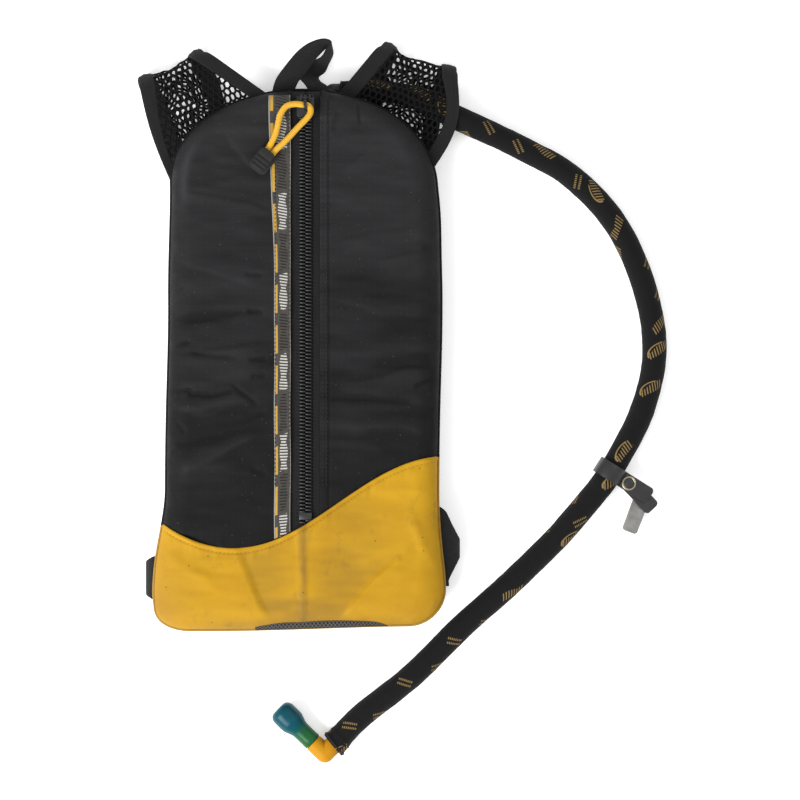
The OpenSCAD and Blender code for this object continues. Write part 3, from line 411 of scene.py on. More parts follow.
class Sock:
    """A node output that can be written into sums."""

    def __init__(self, mat, socket):
        self.mat, self.socket = mat, socket

    def op(self, kind, other=0.0):
        """One Math node on this value."""
        return self.mat.node("ShaderNodeMath", {0: self, 1: other}, operation=kind)

    def __add__(self, other):
        return self.op("ADD", other)

    def __sub__(self, other):
        return self.op("SUBTRACT", other)

    def __rsub__(self, other):
        return (self * -1.0) + other

    def __mul__(self, other):
        return self.op("MULTIPLY", other)

    def __truediv__(self, other):
        return self.op("DIVIDE", other)

    __radd__, __rmul__ = __add__, __mul__

    def sin(self):
        return self.op("SINE")

    def abs(self):
        return self.op("ABSOLUTE")

    def frac(self):
        return self.op("FRACT")

    def below(self, edge, soft=0.0):
        """1 below the edge and 0 above it."""
        if not soft:
            return self.op("LESS_THAN", edge)
        return self.mat.node("ShaderNodeMapRange", {0: self, 1: edge - soft, 2: edge + soft,
                                                    3: 1.0, 4: 0.0})


class Mat:
    """A material written as sums of sockets."""

    def __init__(self, **constants):
        self.material = bpy.data.materials.new("pack_finish")
        self.material.use_nodes = True
        self.tree = self.material.node_tree
        self.shader = self.tree.nodes["Principled BSDF"]
        for key, value in constants.items():
            self.set(key.replace("_", " "), value)

    def put(self, socket, value):
        """Links or sets one input."""
        if isinstance(value, Sock):
            self.tree.links.new(value.socket, socket)
        else:
            socket.default_value = value

    def set(self, key, value):
        """Links or sets one input of the shader."""
        self.put(self.shader.inputs[key], value)

    def node(self, kind, inputs=None, out=0, **props):
        """A new node, with its settings and then its inputs."""
        made = self.tree.nodes.new(kind)
        for key, value in props.items():
            setattr(made, key, value)
        for key, value in (inputs or {}).items():
            self.put(made.inputs[key], value)
        return Sock(self, made.outputs[out])

    def mix(self, factor, a, b):
        """A colour between a and b."""
        return self.node("ShaderNodeMix", {0: factor, 6: a, 7: b}, out=2, data_type="RGBA")

    def place(self, uv=False):
        """Object or pattern place, in millimetres, and its three parts."""
        spot = self.node("ShaderNodeTexCoord", out="UV" if uv else "Object")
        if not uv:
            spot = self.node("ShaderNodeVectorMath", {0: spot, 3: 1 / MM}, operation="SCALE")
        return spot, [self.node("ShaderNodeSeparateXYZ", {0: spot}, out=k) for k in range(3)]

    def stretch(self, spot, x, y, z):
        """The place scaled along each axis."""
        return self.node("ShaderNodeMapping", {"Vector": spot, "Scale": (x, y, z)})

    def noise(self, spot, scale, detail=3.0, rough=0.55):
        """Clouds of values about one half."""
        return self.node("ShaderNodeTexNoise", {"Vector": spot, "Scale": scale, "Detail": detail,
                                                "Roughness": rough})

    def bump(self, height, distance, strength=1.0):
        """Relief, with its depth in millimetres."""
        self.set("Normal", self.node("ShaderNodeBump", {"Height": height, "Strength": strength,
                                                        "Distance": distance * MM}))


def cloth(colour, light, cell=5.0, dirt=0.5, rough=0.72, shaped=False):
    """Ripstop: a fine weave with a faint square grid, faded patches, lint and rubbed edges. When shaped, it
    is also lighter towards the top and has painted highlights on ridges, painted shade in creases and a
    painted highlight along the left shoulder.
    """
    m = Mat(Specular_IOR_Level=0.14)
    spot, (x, y, _) = m.place()
    grid_x = ((x / cell).frac() - 0.5).abs().below(0.05, 0.03)
    grid_y = ((y / cell).frac() - 0.5).abs().below(0.05, 0.03)
    grid = grid_x.op("MAXIMUM", grid_y)
    weave = (x * (TAU / 1.15)).sin() * (y * (TAU / 1.15)).sin()
    fade = m.noise(m.stretch(spot, 0.02, 0.05, 0.03), 1.0, 6.0, 0.62)
    fine = m.noise(spot, 0.9, 2.0)
    warp = m.noise(m.stretch(spot, 2.4, 0.12, 1.0), 1.0, 2.0)
    thread = warp + m.noise(m.stretch(spot, 0.12, 2.4, 1.0), 1.0, 2.0)
    lint = m.noise(spot, 0.62, 0.0).op("GREATER_THAN", 0.84)
    tone = fade * dirt + fine * 0.10 + thread * 0.12 + grid * 0.03 - 0.31
    if shaped:
        _, (depth, lift, _) = m.place(uv=True)
        rub_and_highlight = m.noise(m.stretch(spot, 0.07, 0.05, 0.05), 1.0, 6.0, 0.7)
        # Painted highlight on ridges and painted shade in the creases below y 40, taken from the cloth's
        # height off its smooth form
        crease_shade = lift.op("MINIMUM", 0.0) * y.below(40.0, 30.0)
        tone = tone + lift.op("MINIMUM", 2.4) * 0.12 + crease_shade * 0.25 + y * 0.0016
        # Painted highlight: a lighter band along the left shoulder, broken up by the rub noise
        shoulder = x.below(-66.0, 12.0) * (y - 145.0).abs().below(22.0, 12.0)
        tone = tone + (depth - 10.0).abs().below(2.5, 2.5) * shoulder * rub_and_highlight * 0.9
        tone = tone + depth.below(5.0, 5.0) * (rub_and_highlight - 0.46).op("MAXIMUM", 0.0) * 1.3
    base = m.mix(tone.op("MAXIMUM", 0.0), colour, light)
    m.set("Base Color", m.mix(lint * 0.3, base, lin(112, 110, 106)))
    m.set("Roughness", fade * 0.2 + (rough - 0.1))
    m.bump(weave * 0.2 + grid * 0.3 + fine * 0.7 + thread * 0.4, 0.16)
    return m


def foot_cloth(yellow):
    """The yellow foot, with its worn centre line, smudges and specks, painted shade in the valleys of its
    middle and painted shade along its lower edge and lower left corner.
    """
    deep, grime_and_shade = lin(202, 150, 32), lin(150, 118, 54)
    m = Mat(Specular_IOR_Level=0.12)
    spot, (x, y, _) = m.place()
    _, (_, lift, _) = m.place(uv=True)
    weave = (x * (TAU / 1.1)).sin() * (y * (TAU / 1.1)).sin()
    fine = m.noise(spot, 0.8, 2.0)
    fade = m.noise(m.stretch(spot, 0.018, 0.03, 0.03), 1.0, 5.0, 0.6)
    middle = (x - 4.0).abs().below(55.0, 40.0) * y.below(-128.0, 40.0)
    base = m.mix((fade * 1.5 - 0.5).op("MAXIMUM", 0.0) + middle * 0.25, yellow, deep)
    # Painted shade: the low valleys of the middle are mixed towards the grime colour
    low = (0.5 - lift * 0.4).op("MAXIMUM", 0.0).op("MINIMUM", 0.7)
    base = m.mix(low * middle, base, grime_and_shade)
    # Painted shade along the rounded lower edge and at the lower left corner
    rim = (y + 196.0).below(0.0, 14.0) * 0.3
    corner = x.below(-92.0, 18.0) * y.below(-158.0, 36.0) * 0.6
    base = m.mix(rim.op("MAXIMUM", corner), base, lin(176, 132, 56))
    drift = m.noise(m.stretch(spot, 0.05, 0.05, 0.05), 1.0, 3.0) * 5.0 - 2.5
    line = (x - 1.2 + drift).abs().below(3.0, 2.6) * y.below(-104.0, 14.0)
    broken = m.noise(m.stretch(spot, 0.25, 0.06, 0.1), 1.0, 4.0)
    base = m.mix(line * broken * 0.85, base, lin(136, 108, 66))
    smudge = (m.noise(m.stretch(spot, 0.055, 0.035, 0.05), 1.0, 6.0, 0.7) - 0.57) * 3.0
    base = m.mix(smudge.op("MAXIMUM", 0.0).op("MINIMUM", 0.35), base, grime_and_shade)
    dot = {"Vector": spot, "Scale": 0.055, "Randomness": 1.0}
    near = m.node("ShaderNodeTexVoronoi", dot, out="Distance", voronoi_dimensions="2D")
    tint = m.node("ShaderNodeTexVoronoi", dot, out="Color", voronoi_dimensions="2D")
    some = m.node("ShaderNodeSeparateXYZ", {0: tint}, out=0).below(0.22)
    speck = near.below(0.03, 0.012) * some
    m.set("Base Color", m.mix(speck * 0.75, base, lin(84, 64, 38)))
    m.set("Roughness", fade * 0.2 + 0.6)
    m.bump(weave * 0.2 + fine * 0.6, 0.15)
    return m


def knit():
    """Open knit: grey strands that slant both ways over dark gaps."""
    m = Mat(Specular_IOR_Level=0.25)
    spot, (u, v, _) = m.place(uv=True)
    one = ((u + v * 0.7) * (TAU / 3.0)).sin()
    two = ((u - v * 0.7) * (TAU / 3.0)).sin()
    strand = one.op("MAXIMUM", two)
    wear = m.noise(m.stretch(spot, 0.2, 0.2, 1.0), 1.0, 3.0)
    m.set("Base Color", m.mix(strand.below(0.6, 0.2), m.mix(wear, lin(74, 72, 69), lin(112, 109, 104)),
                              lin(13, 12, 12)))
    m.set("Roughness", wear * 0.2 + 0.7)
    m.bump(strand, 0.35)
    return m


def webbing(colour, light, rib=1.5, twill=True, rough=0.8):
    """Woven tape: slanting ribs that meet at a line down its middle."""
    m = Mat(Sheen_Weight=0.04, Specular_IOR_Level=0.18)
    spot, (u, v, _) = m.place(uv=True)
    slant = u.abs() * 0.8 if twill else u * 0.0
    ribs = ((v + slant) * (TAU / rib)).sin()
    cross = (u * (TAU / 1.3)).sin()
    wear = m.noise(m.stretch(spot, 0.25, 0.05, 1.0), 1.0, 4.0)
    m.set("Base Color", m.mix(ribs * 0.12 + wear * 0.45, colour, light))
    m.set("Roughness", wear * 0.2 + (rough - 0.1))
    m.bump(ribs + cross * 0.45 + m.noise(spot, 1.5, 2.0) * 0.6, 0.16)
    return m


def trim():
    """The tape beside the zip: light edges, a broken yellow line and rows of plain ticks."""
    m = Mat(Sheen_Weight=0.1, Specular_IOR_Level=0.3)
    spot, (u, v, _) = m.place(uv=True)
    repeat = 62.4

    def band(mid, half):
        return (u - mid).abs().below(half, 0.14)

    weave = ((u + v) * (TAU / 1.0)).sin() * ((u - v) * (TAU / 1.0)).sin()
    wear = m.noise(m.stretch(spot, 0.3, 0.09, 1.0), 1.0, 5.0)
    base = m.mix(wear, lin(48, 45, 41), lin(104, 98, 90))
    edges = band(-6.3, 0.7).op("MAXIMUM", band(6.35, 0.6))
    base = m.mix(edges * 0.85, base, lin(206, 202, 194))
    dash = (v / (repeat / 2)).frac().below(0.7) * band(-4.5, 0.95)
    base = m.mix(dash * 0.9, base, lin(255, 200, 70))
    slope = (v + u * 0.35) / 2.3
    uneven = (slope.op("FLOOR") * SCATTER).sin().abs()
    strokes = (slope.frac() - 0.5).abs().below(0.24, 0.06) * (u - 0.9).abs().below(uneven * 1.3 + 1.9)
    beat = (v / repeat).frac()
    light = strokes * (beat - 0.25).abs().below(0.225)
    dark = strokes * (beat - 0.75).abs().below(0.225)
    base = m.mix(light * (wear * 0.5 + 0.7), base, lin(255, 252, 246))
    m.set("Base Color", m.mix(dark * 0.95, base, lin(12, 12, 12)))
    m.set("Roughness", wear * 0.15 + 0.62)
    m.bump(weave + light * 0.8 + edges, 0.12)
    return m


def printed():
    """The hose's knit sleeve: black, with muted gold rows of uneven bars and thin arcs."""
    size = 27.0
    m = Mat(Specular_IOR_Level=0.14)
    spot, (u, v, _) = m.place(uv=True)
    shrunk = m.node("ShaderNodeVectorMath", {0: spot, 3: 1 / size}, operation="SCALE")
    cell = {"Vector": shrunk, "Scale": 1.0, "Randomness": 0.6}
    centre = m.node("ShaderNodeTexVoronoi", cell, out="Position", voronoi_dimensions="2D")
    tint = m.node("ShaderNodeTexVoronoi", cell, out="Color", voronoi_dimensions="2D")
    chance, kind, slant = (m.node("ShaderNodeSeparateXYZ", {0: tint}, out=k) for k in range(3))
    off = m.node("ShaderNodeVectorMath", {0: shrunk, 1: centre}, operation="SUBTRACT")
    turned = m.node("ShaderNodeVectorRotate", {"Vector": off, "Angle": slant * 0.9 + 0.5},
                    rotation_type="Z_AXIS")
    p, q = (m.node("ShaderNodeSeparateXYZ", {0: turned}, out=k) * size for k in (0, 1))
    uneven = ((p / 2.3 + chance * 9.0).op("FLOOR") * SCATTER).sin().abs()
    bars = (((p + q * 0.2) / 2.3).frac() - 0.5).abs().below(0.18, 0.07)
    tall = (q + p * 0.08 + uneven * 0.8).abs().below(uneven * 1.1 + 2.3) * p.abs().below(9.6)
    long = bars * tall * kind.below(0.55)
    fine = ((p / 1.5).frac() - 0.5).abs().below(0.24, 0.08) * (q.abs() - 1.8).abs().below(0.85)
    short = fine * p.abs().below(5.6) * (1.0 - kind.below(0.55)) * kind.below(0.9)
    ring = ((p * p * 0.3 + q * q).op("SQRT") - 5.4).abs().below(0.4, 0.15)
    arc = ring * (p * 0.4 + q).below(-2.4, 0.4) * kind.below(0.3)
    worn = m.noise(spot, 0.9, 4.0, 0.7).op("GREATER_THAN", 0.36)
    ink = long.op("MAXIMUM", short).op("MAXIMUM", arc) * worn
    weave = ((v + u * 0.9) * (TAU / 1.2)).sin() * ((v - u * 0.9) * (TAU / 1.2)).sin()
    wear = m.noise(m.stretch(spot, 0.05, 0.03, 1.0), 1.0, 5.0)
    base = m.mix(wear * 0.5 + weave * 0.08, lin(13, 13, 14), lin(38, 37, 37))
    m.set("Base Color", m.mix(ink * 0.8, base, lin(196, 164, 104)))
    m.set("Roughness", wear * 0.2 + 0.68)
    m.bump(weave * 0.7 + m.noise(spot, 0.7, 2.0), 0.14)
    return m


def moulded(colour, light, rough=0.42, grain=0.06, metal=0.0, uneven=0.3, **more):
    """Moulded plastic, rubber or metal with fine grain and rubbed patches."""
    m = Mat(Metallic=metal, **more)
    spot, _ = m.place()
    fine = m.noise(spot, 1.6, 3.0)
    patch = m.noise(m.stretch(spot, 0.12, 0.12, 0.12), 1.0, 5.0, 0.6)
    m.set("Base Color", m.mix(patch * uneven + fine * 0.15, colour, light))
    m.set("Roughness", patch * 0.2 + (rough - 0.1))
    m.bump(fine, grain)
    return m


def braid(colour, light):
    """Plaited cord or thread."""
    m = Mat(Specular_IOR_Level=0.15)
    spot, (u, v, _) = m.place(uv=True)
    strands = ((v + u * 1.2) * (TAU / 2.1)).sin() * ((v - u * 1.2) * (TAU / 2.1)).sin()
    wear = m.noise(m.stretch(spot, 0.3, 0.06, 1.0), 1.0, 4.0)
    m.set("Base Color", m.mix(strands * 0.2 + wear * 0.5, colour, light))
    m.set("Roughness", wear * 0.15 + 0.5)
    m.bump(strands, 0.2)
    return m


def valve_skin(colour):
    """Silicone that turns from green over the barb to teal at the bulb."""
    m = Mat(Subsurface_Weight=0.12, Subsurface_Scale=0.002, Specular_IOR_Level=0.12,
            Coat_Weight=0.04, Coat_Roughness=0.2)
    spot, (x, y, _) = m.place()
    along = (x - ELBOW_AT[0]) * VALVE_WAY[0] + (y - ELBOW_AT[1]) * VALVE_WAY[1]
    cloud = m.noise(m.stretch(spot, 0.12, 0.12, 0.12), 1.0, 4.0)
    fac = (along + cloud * 5.0 - 2.5).below(27.0, 5.0)
    teal = m.mix(cloud, colour, lin(2, 102, 118))
    green = m.mix(cloud, lin(16, 90, 48), lin(44, 122, 62))
    m.set("Base Color", m.mix(fac, teal, green))
    m.set("Roughness", cloud * 0.2 + 0.24)
    m.bump(m.noise(spot, 0.9, 3.0), 0.08)
    return m


def film(colour, alpha):
    """Clouded, half clear film or tubing."""
    m = Mat(Roughness=0.22, IOR=1.45, Transmission_Weight=0.35)
    spot, _ = m.place()
    cloud = m.noise(m.stretch(spot, 0.03, 0.03, 0.03), 1.0, 5.0)
    m.set("Base Color", m.mix(cloud * 0.6, colour, lin(225, 238, 248)))
    m.set("Alpha", cloud * 0.2 + alpha)
    m.bump(m.noise(spot, 0.05, 4.0), 0.8, 0.5)
    return m


def make_materials(c):
    """Every material, by the name of its finish."""
    black, grey, ash = lin(22, 22, 24), lin(66, 66, 68), lin(62, 62, 64)
    made = {
        "black_ripstop": cloth(tuple(c.black), grey, shaped=True),
        "yellow_ripstop": foot_cloth(tuple(c.foot)),
        "black_fabric": cloth(black, grey, cell=2.4, dirt=0.35),
        "pad_mesh": cloth(black, lin(84, 84, 86), cell=2.0, dirt=0.5, rough=0.85),
        "drain_knit": knit(),
        "foam": moulded(lin(178, 180, 184), lin(222, 222, 224), rough=0.9, grain=0.3),
        "woven_trim": trim(),
        "zip_fabric": webbing(lin(20, 20, 22), ash, rib=1.1),
        "zip_nylon": moulded(lin(18, 18, 20), grey, rough=0.38, grain=0.03),
        "dark_metal": moulded(lin(58, 58, 62), lin(128, 126, 124), rough=0.36, grain=0.03,
                              metal=0.85),
        "pull_yellow": braid(tuple(c.cord), lin(255, 220, 110, 0.62)),
        "black_rubber": moulded(lin(15, 15, 16), lin(52, 52, 54), rough=0.5, grain=0.08,
                                Specular_IOR_Level=0.3),
        "black_webbing": webbing(lin(20, 20, 21), lin(64, 64, 66)),
        "strap_mesh": moulded(lin(10, 10, 11), lin(34, 34, 36), rough=0.8, grain=0.1,
                              Specular_IOR_Level=0.12),
        "binding": webbing(black, ash, rib=0.9, twill=False),
        "black_plastic": moulded(lin(20, 20, 21), ash, rough=0.4, grain=0.05),
        "bladder_film": film(lin(150, 196, 228), alpha=0.55),
        "blue_plastic": moulded(tuple(c.cap), lin(86, 132, 206), rough=0.36, grain=0.04),
        "gasket": moulded(lin(214, 214, 210), lin(240, 240, 238), rough=0.5, grain=0.05),
        "clear_tube": film(lin(160, 204, 232), alpha=0.6),
        "sleeve_fabric": printed(),
        "yellow_plastic": moulded(tuple(c.elbow), lin(236, 174, 44), rough=0.5, grain=0.03,
                                  Specular_IOR_Level=0.08),
        "teal_silicone": valve_skin(tuple(c.valve)),
        "black_vinyl": moulded(lin(7, 7, 8), lin(40, 38, 38), rough=0.4, grain=0.12,
                               uneven=0.7, Coat_Weight=0.08, Coat_Roughness=0.25),
        "snap_metal": moulded(lin(206, 192, 160), lin(240, 234, 220), rough=0.26, grain=0.02,
                              metal=0.9),
        "clip_steel": moulded(lin(128, 125, 122), lin(240, 238, 234), rough=0.34, grain=0.03,
                              metal=0.95, uneven=0.9),
        "yellow_thread": braid(lin(196, 136, 34), lin(232, 176, 66)),
        "foot_piping": braid(lin(196, 150, 58), lin(220, 176, 82)),
        "black_thread": braid(lin(26, 26, 28), lin(86, 86, 88)),
    }
    for name, m in made.items():
        m.material.name = name
    return {name: m.material for name, m in made.items()}


# The padded pack
ZIP_X, SLOT, FOOT_GAP = 3.0, 11.5, 0.3


def patch(lo, hi, lf, rt, us, vs):
    """A sheet spanned between four border lines."""
    u, v = us[None, :, None], vs[:, None, None]
    corners = ((lo[0] * (1 - u) + lo[-1] * u) * (1 - v) + (hi[0] * (1 - u) + hi[-1] * u) * v)
    return lo[None] * (1 - v) + hi[None] * v + lf[:, None] * (1 - u) + rt[:, None] * u - corners


def beside(x, y, a, b):
    """Share of the way from a to b, and distance to the left of that line."""
    a, b = np.array(a, float), np.array(b, float)
    d = b - a
    t = ((x - a[0]) * d[0] + (y - a[1]) * d[1]) / (d @ d)
    return t, ((y - a[1]) * d[0] - (x - a[0]) * d[1]) / np.sqrt(d @ d)


def fold(x, y, a, b, width, height):
    """A soft ridge, or with a negative height a valley, from a to b."""
    t, off = beside(x, y, a, b)
    ends = ease((t + 0.15) / 0.3) * ease((1.15 - t) / 0.3)
    return height * np.exp(-(off / width) ** 2) * ends


def pleat(x, y, a, b, width, rise, reach):
    """A step up on the left of the line from a to b that sinks back further out."""
    t, off = beside(x, y, a, b)
    ends = ease((t + 0.2) / 0.4) * ease((1.2 - t) / 0.4)
    return rise * ease(off / width + 0.5) * np.exp(-(np.maximum(off, 0) / reach) ** 2) * ends


# Folds are (from, to, width, height), and pleats (from, to, width, rise, reach)
BLACK_FOLDS = [
    ((28, 124), (96, 130), 4.0, 0.5), ((24, 66), (84, 73), 5.0, -0.5), ((22, 5), (100, 13), 5.0, 0.8),
    ((20, -28), (86, -33), 3.0, -1.2), ((30, -38), (98, -30), 5.0, 1.0),
    ((20, -62), (60, -66), 4.0, 0.7), ((-98, 96), (-44, 112), 6.0, 0.7),
    ((-92, 30), (-30, 42), 5.0, -0.7), ((-100, -20), (-40, -6), 6.0, 0.9),
    ((-96, -62), (-30, -50), 5.0, -1.0), ((-104, -84), (-50, -80), 4.0, 0.9),
    ((-70, 160), (-24, 150), 6.0, 0.6), ((-87, 4.5), (-55, 2), 1.6, -1.5),
    ((-103, -24.5), (-89, -22.4), 1.6, -1.5), ((-91, -26), (-72, -27.8), 1.8, -1.8),
    ((-72, -27.8), (-54, -24), 1.8, -1.6), ((-54, -19.5), (-38, -34), 1.6, -1.4),
    ((-102, -47), (-91, -55.5), 1.6, -1.5), ((-96, -66), (-76, -51), 2.4, -1.8),
    ((-76, -51), (-41, -45), 2.2, -1.5), ((-104, 50), (-96, 57), 1.6, -1.4),
    ((-104, 8.5), (-89, 14), 1.6, -1.5), ((-42, 67), (-29, 66), 1.6, -1.2),
    ((-41, 38), (-29, 37), 1.6, -1.2), ((-44, 0), (-29, 1.5), 1.6, -1.4),
    ((-40, -13), (-29, -11.5), 1.6, -1.2), ((-46, -43), (-29, -40), 1.8, -1.6),
    ((-42, -85), (-29, -88), 1.8, -1.4), ((92, 87), (105, 92), 2.0, -1.8),
    ((98, 53), (106, 49), 1.8, -1.4), ((42.5, 203), (44, 184), 1.8, -1.3),
    ((27.5, 193), (24.5, 179), 2.0, -1.0), ((84, -20), (104, -14), 1.8, -1.3),
]
BLACK_PLEATS = [
    ((-30, 118), (-92, 132), 4.0, 1.0, 16), ((-98, 74), (-36, 60), 4.0, 0.9, 14),
    ((-34, 12), (-96, 2), 4.0, 1.2, 14), ((-100, -42), (-46, -34), 4.0, 1.4, 12),
    ((-86, -86), (-32, -60), 5.0, 2.2, 14), ((-58, 176), (-40, 150), 4.0, 0.9, 12),
    ((94, 104), (30, 96), 4.0, 0.6, 14), ((26, 44), (92, 32), 4.0, 0.7, 14),
    ((98, -6), (34, -14), 4.0, 1.3, 12), ((28, -50), (96, -58), 4.0, 1.3, 12),
    ((58, 168), (34, 150), 4.0, 0.7, 12), ((96, 84), (60, 78), 3.0, 0.8, 10),
]
YELLOW_FOLDS = [
    ((-104, -150), (-70, -172), 5.0, 0.9), ((84, -120), (108, -165), 5.0, 1.0),
    ((60, -100), (96, -104), 5.0, 0.5), ((-96, -140), (-30, -146), 6.0, 0.8),
    ((8, -140), (56, -134), 6.0, 0.7), ((92, -146), (112, -140), 3.0, 0.8),
    ((-90, -128), (-74, -150), 4.0, 0.7), ((46, -158), (84, -140), 4.0, 0.6),
]
YELLOW_PLEATS = [
    ((-25, -204), (-50, -148), 7.0, 2.4, 44), ((80, -150), (28, -204), 6.0, 3.3, 42),
    ((4, -208), (1, -118), 4.0, 0.7, 16), ((-4, -118), (-1, -208), 4.0, 0.7, 16),
]


DEEPEST = 1.1


def creases(x, y, folds, pleats, depth, seed):
    """How far the cloth stands off its smooth form."""
    d = depth_in(x, y)
    soft = ease((d - 2) / 16)
    lift = depth * soft * (0.6 * noise(x / 40, y / 10, seed) + 0.8 * noise(x / 60, y / 52, seed + 1)
                           + 0.3 * noise(x / 15, y / 4.6, seed + 2))
    wander = 4 * noise(x / 20, y / 20, seed + 3)
    for a, b, width, height in folds:
        lift = lift + fold(x + wander, y, a, b, width, height) * soft
    for a, b, width, rise, reach in pleats:
        lift = lift + pleat(x, y + wander, a, b, width, rise, reach) * soft
    rim = np.exp(-np.maximum(d - 1.5, 0) / 7) * ease(d / 2)
    around = np.arctan2(y - 60, x) * 24
    gathers = 0.3 * noise((x - y) / 4.6, (x + y) / 9, seed + 4) + 0.55 * noise(around, d / 14, seed + 5)
    lift = lift + rim * gathers
    return np.maximum(lift, -DEEPEST)


def outline(step):
    """The seam of the pack, anticlockwise from the right shoulder, with points about a step apart."""
    a = np.linspace(0, np.pi, 90)
    arch = on_arch(a)
    y = np.linspace(ARCH_Y, CORNER_Y, 120)[1:]
    left = np.stack([-edge_x(y), y], 1)
    b = np.linspace(0, np.pi / 2, 24)[1:]
    corner = np.stack([-CORNER_X - CORNER_R * np.cos(b), CORNER_Y - CORNER_R * np.sin(b)], 1)
    half = np.concatenate([left, corner])
    right = (half * [-1, 1])[::-1]
    line, _ = respace(np.concatenate([arch, half, right, arch[:1]]), step)
    return line[:-1]


SHOULDER_A, STRAIGHT, TURNING = np.radians(50), 0.7, 0.3


def rim_line(s, y0, vs):
    """The outer border of a black half: the straight side and then the shoulder."""
    low = vs < STRAIGHT
    y = y0 + (ARCH_Y - y0) * np.minimum(vs / STRAIGHT, 1)
    a = SHOULDER_A * np.clip((vs - STRAIGHT) / TURNING, 0, 1)
    x = np.where(low, edge_x(np.minimum(y, ARCH_Y)), ARCH_HALF * np.cos(a))
    return np.stack([s * x, np.where(low, y, ARCH_Y + ARCH_RISE * np.sin(a))], 1)


def black_height(x, y, s):
    """Height of the creased black front, left for s below zero."""
    slot = ZIP_X + s * SLOT
    in_slot, up = np.abs(x - slot), y - wave(x)
    z = skin(x, y) + creases(x, y, BLACK_FOLDS, BLACK_PLEATS, 1.1 if s < 0 else 1.0, 11 if s < 0 else 23)
    z = z + 0.42 * np.exp(-in_slot / 11) * noise(y / 3.2, x / 26, 31) * ease((top_y(x) - y) / 12)
    z = z + 0.35 * np.exp(-up / 6) * noise(x / 3.6, y / 20, 33) - 0.7 * np.exp(-((up / 3) ** 2))
    if s > 0:  # the folded facing beside the zip
        z = z + 0.5 * ease((7.2 - in_slot) / 1.2) - 0.7 * np.exp(-((in_slot - 6.6) / 0.8) ** 2)
    return z


def front_cloth(s, side, nu=120, nv=230):
    """One black half of the front, hemmed at the zip and tucked under the foot."""
    slot = ZIP_X + s * SLOT
    us = np.linspace(0, 1, nu) ** 1.5
    vs = 1 - (1 - np.linspace(0, 1, nv)) ** 1.35
    y0 = foot_end(s) + FOOT_GAP
    x = s * edge_x(y0) * (1 - us) + slot * us
    lo = np.stack([x, wave(x) + FOOT_GAP], 1)
    a = SHOULDER_A * (1 - us) + np.arccos(abs(slot) / ARCH_HALF) * us
    hi = on_arch(a, s)
    y = wave(slot) + FOOT_GAP + (top_y(slot) - wave(slot) - FOOT_GAP) * vs
    flat = patch(lo, hi, rim_line(s, y0, vs), np.stack([np.full(nv, slot), y], 1), us, vs)
    x, y = flat[..., 0], flat[..., 1]
    rows = np.dstack([x, y, black_height(x, y, s)])
    hem = [rows[:, -1:] + np.array([s * dx, 0, dz])
           for dx, dz in ((-0.35, -0.5), (0.1, -1.1), (3.0, -1.3))]
    rows = np.concatenate([rows, *hem], 1)
    tuck = []
    for dy, dz in ((-4.5, -1.5), (-1.2, -0.7)):
        t = rows[:1] + np.array([0, dy, dz])
        t[..., 2] = np.minimum(t[..., 2], skin(t[..., 0], t[..., 1]) - 0.6)
        tuck.append(t)
    rows = np.concatenate([*tuck, rows], 0)
    obj = grid_obj("front_cloth_" + side, settle(rows), [0], [0], "black_ripstop", "pack",
                   ("front_panel_" + side,), flip=s > 0, places=wear_and_shade_places(rows))
    return skinned(obj, 0.9)


def wear_and_shade_places(rows):
    """Distance from the outline and height off the smooth form, by which the materials paint wear, highlights
    and shade.
    """
    x, y, z = rows[..., 0], rows[..., 1], rows[..., 2]
    return np.dstack([depth_in(x, y), z - skin(x, y)])


def skinned(obj, thick):
    modify(obj, "SOLIDIFY", thickness=thick * MM, offset=-1.0, use_rim=True)
    return obj


GRIP_SPOT = (-30.0, -150.0)  # where the grip of the zip pull comes to lie on the foot


def foot_height(x, y):
    """Height of the creased yellow foot, with its rolled and sewn upper edge."""
    d = np.maximum(wave(x) - y, 0) * 0.92
    soft = ease((edge_x(y) - np.abs(x)) / 8)
    lift = creases(x, y, YELLOW_FOLDS, YELLOW_PLEATS, 0.9, 47) + 0.5 * np.exp(-d / 9) * soft
    lift = lift + soft * (1.1 * np.exp(-((d - 1.2) / 1.7) ** 2) - 0.55 * np.exp(-((d - 3.6) / 0.8) ** 2))
    lift = lift + soft * 0.45 * np.exp(-((d - 5) / 5) ** 2) * noise(x / 3.8, y / 25, 51)
    room = 1.1 + 6 * ease((np.hypot(x - GRIP_SPOT[0], y - GRIP_SPOT[1]) - 14) / 18)
    return skin(x, y) + np.minimum(lift, room)


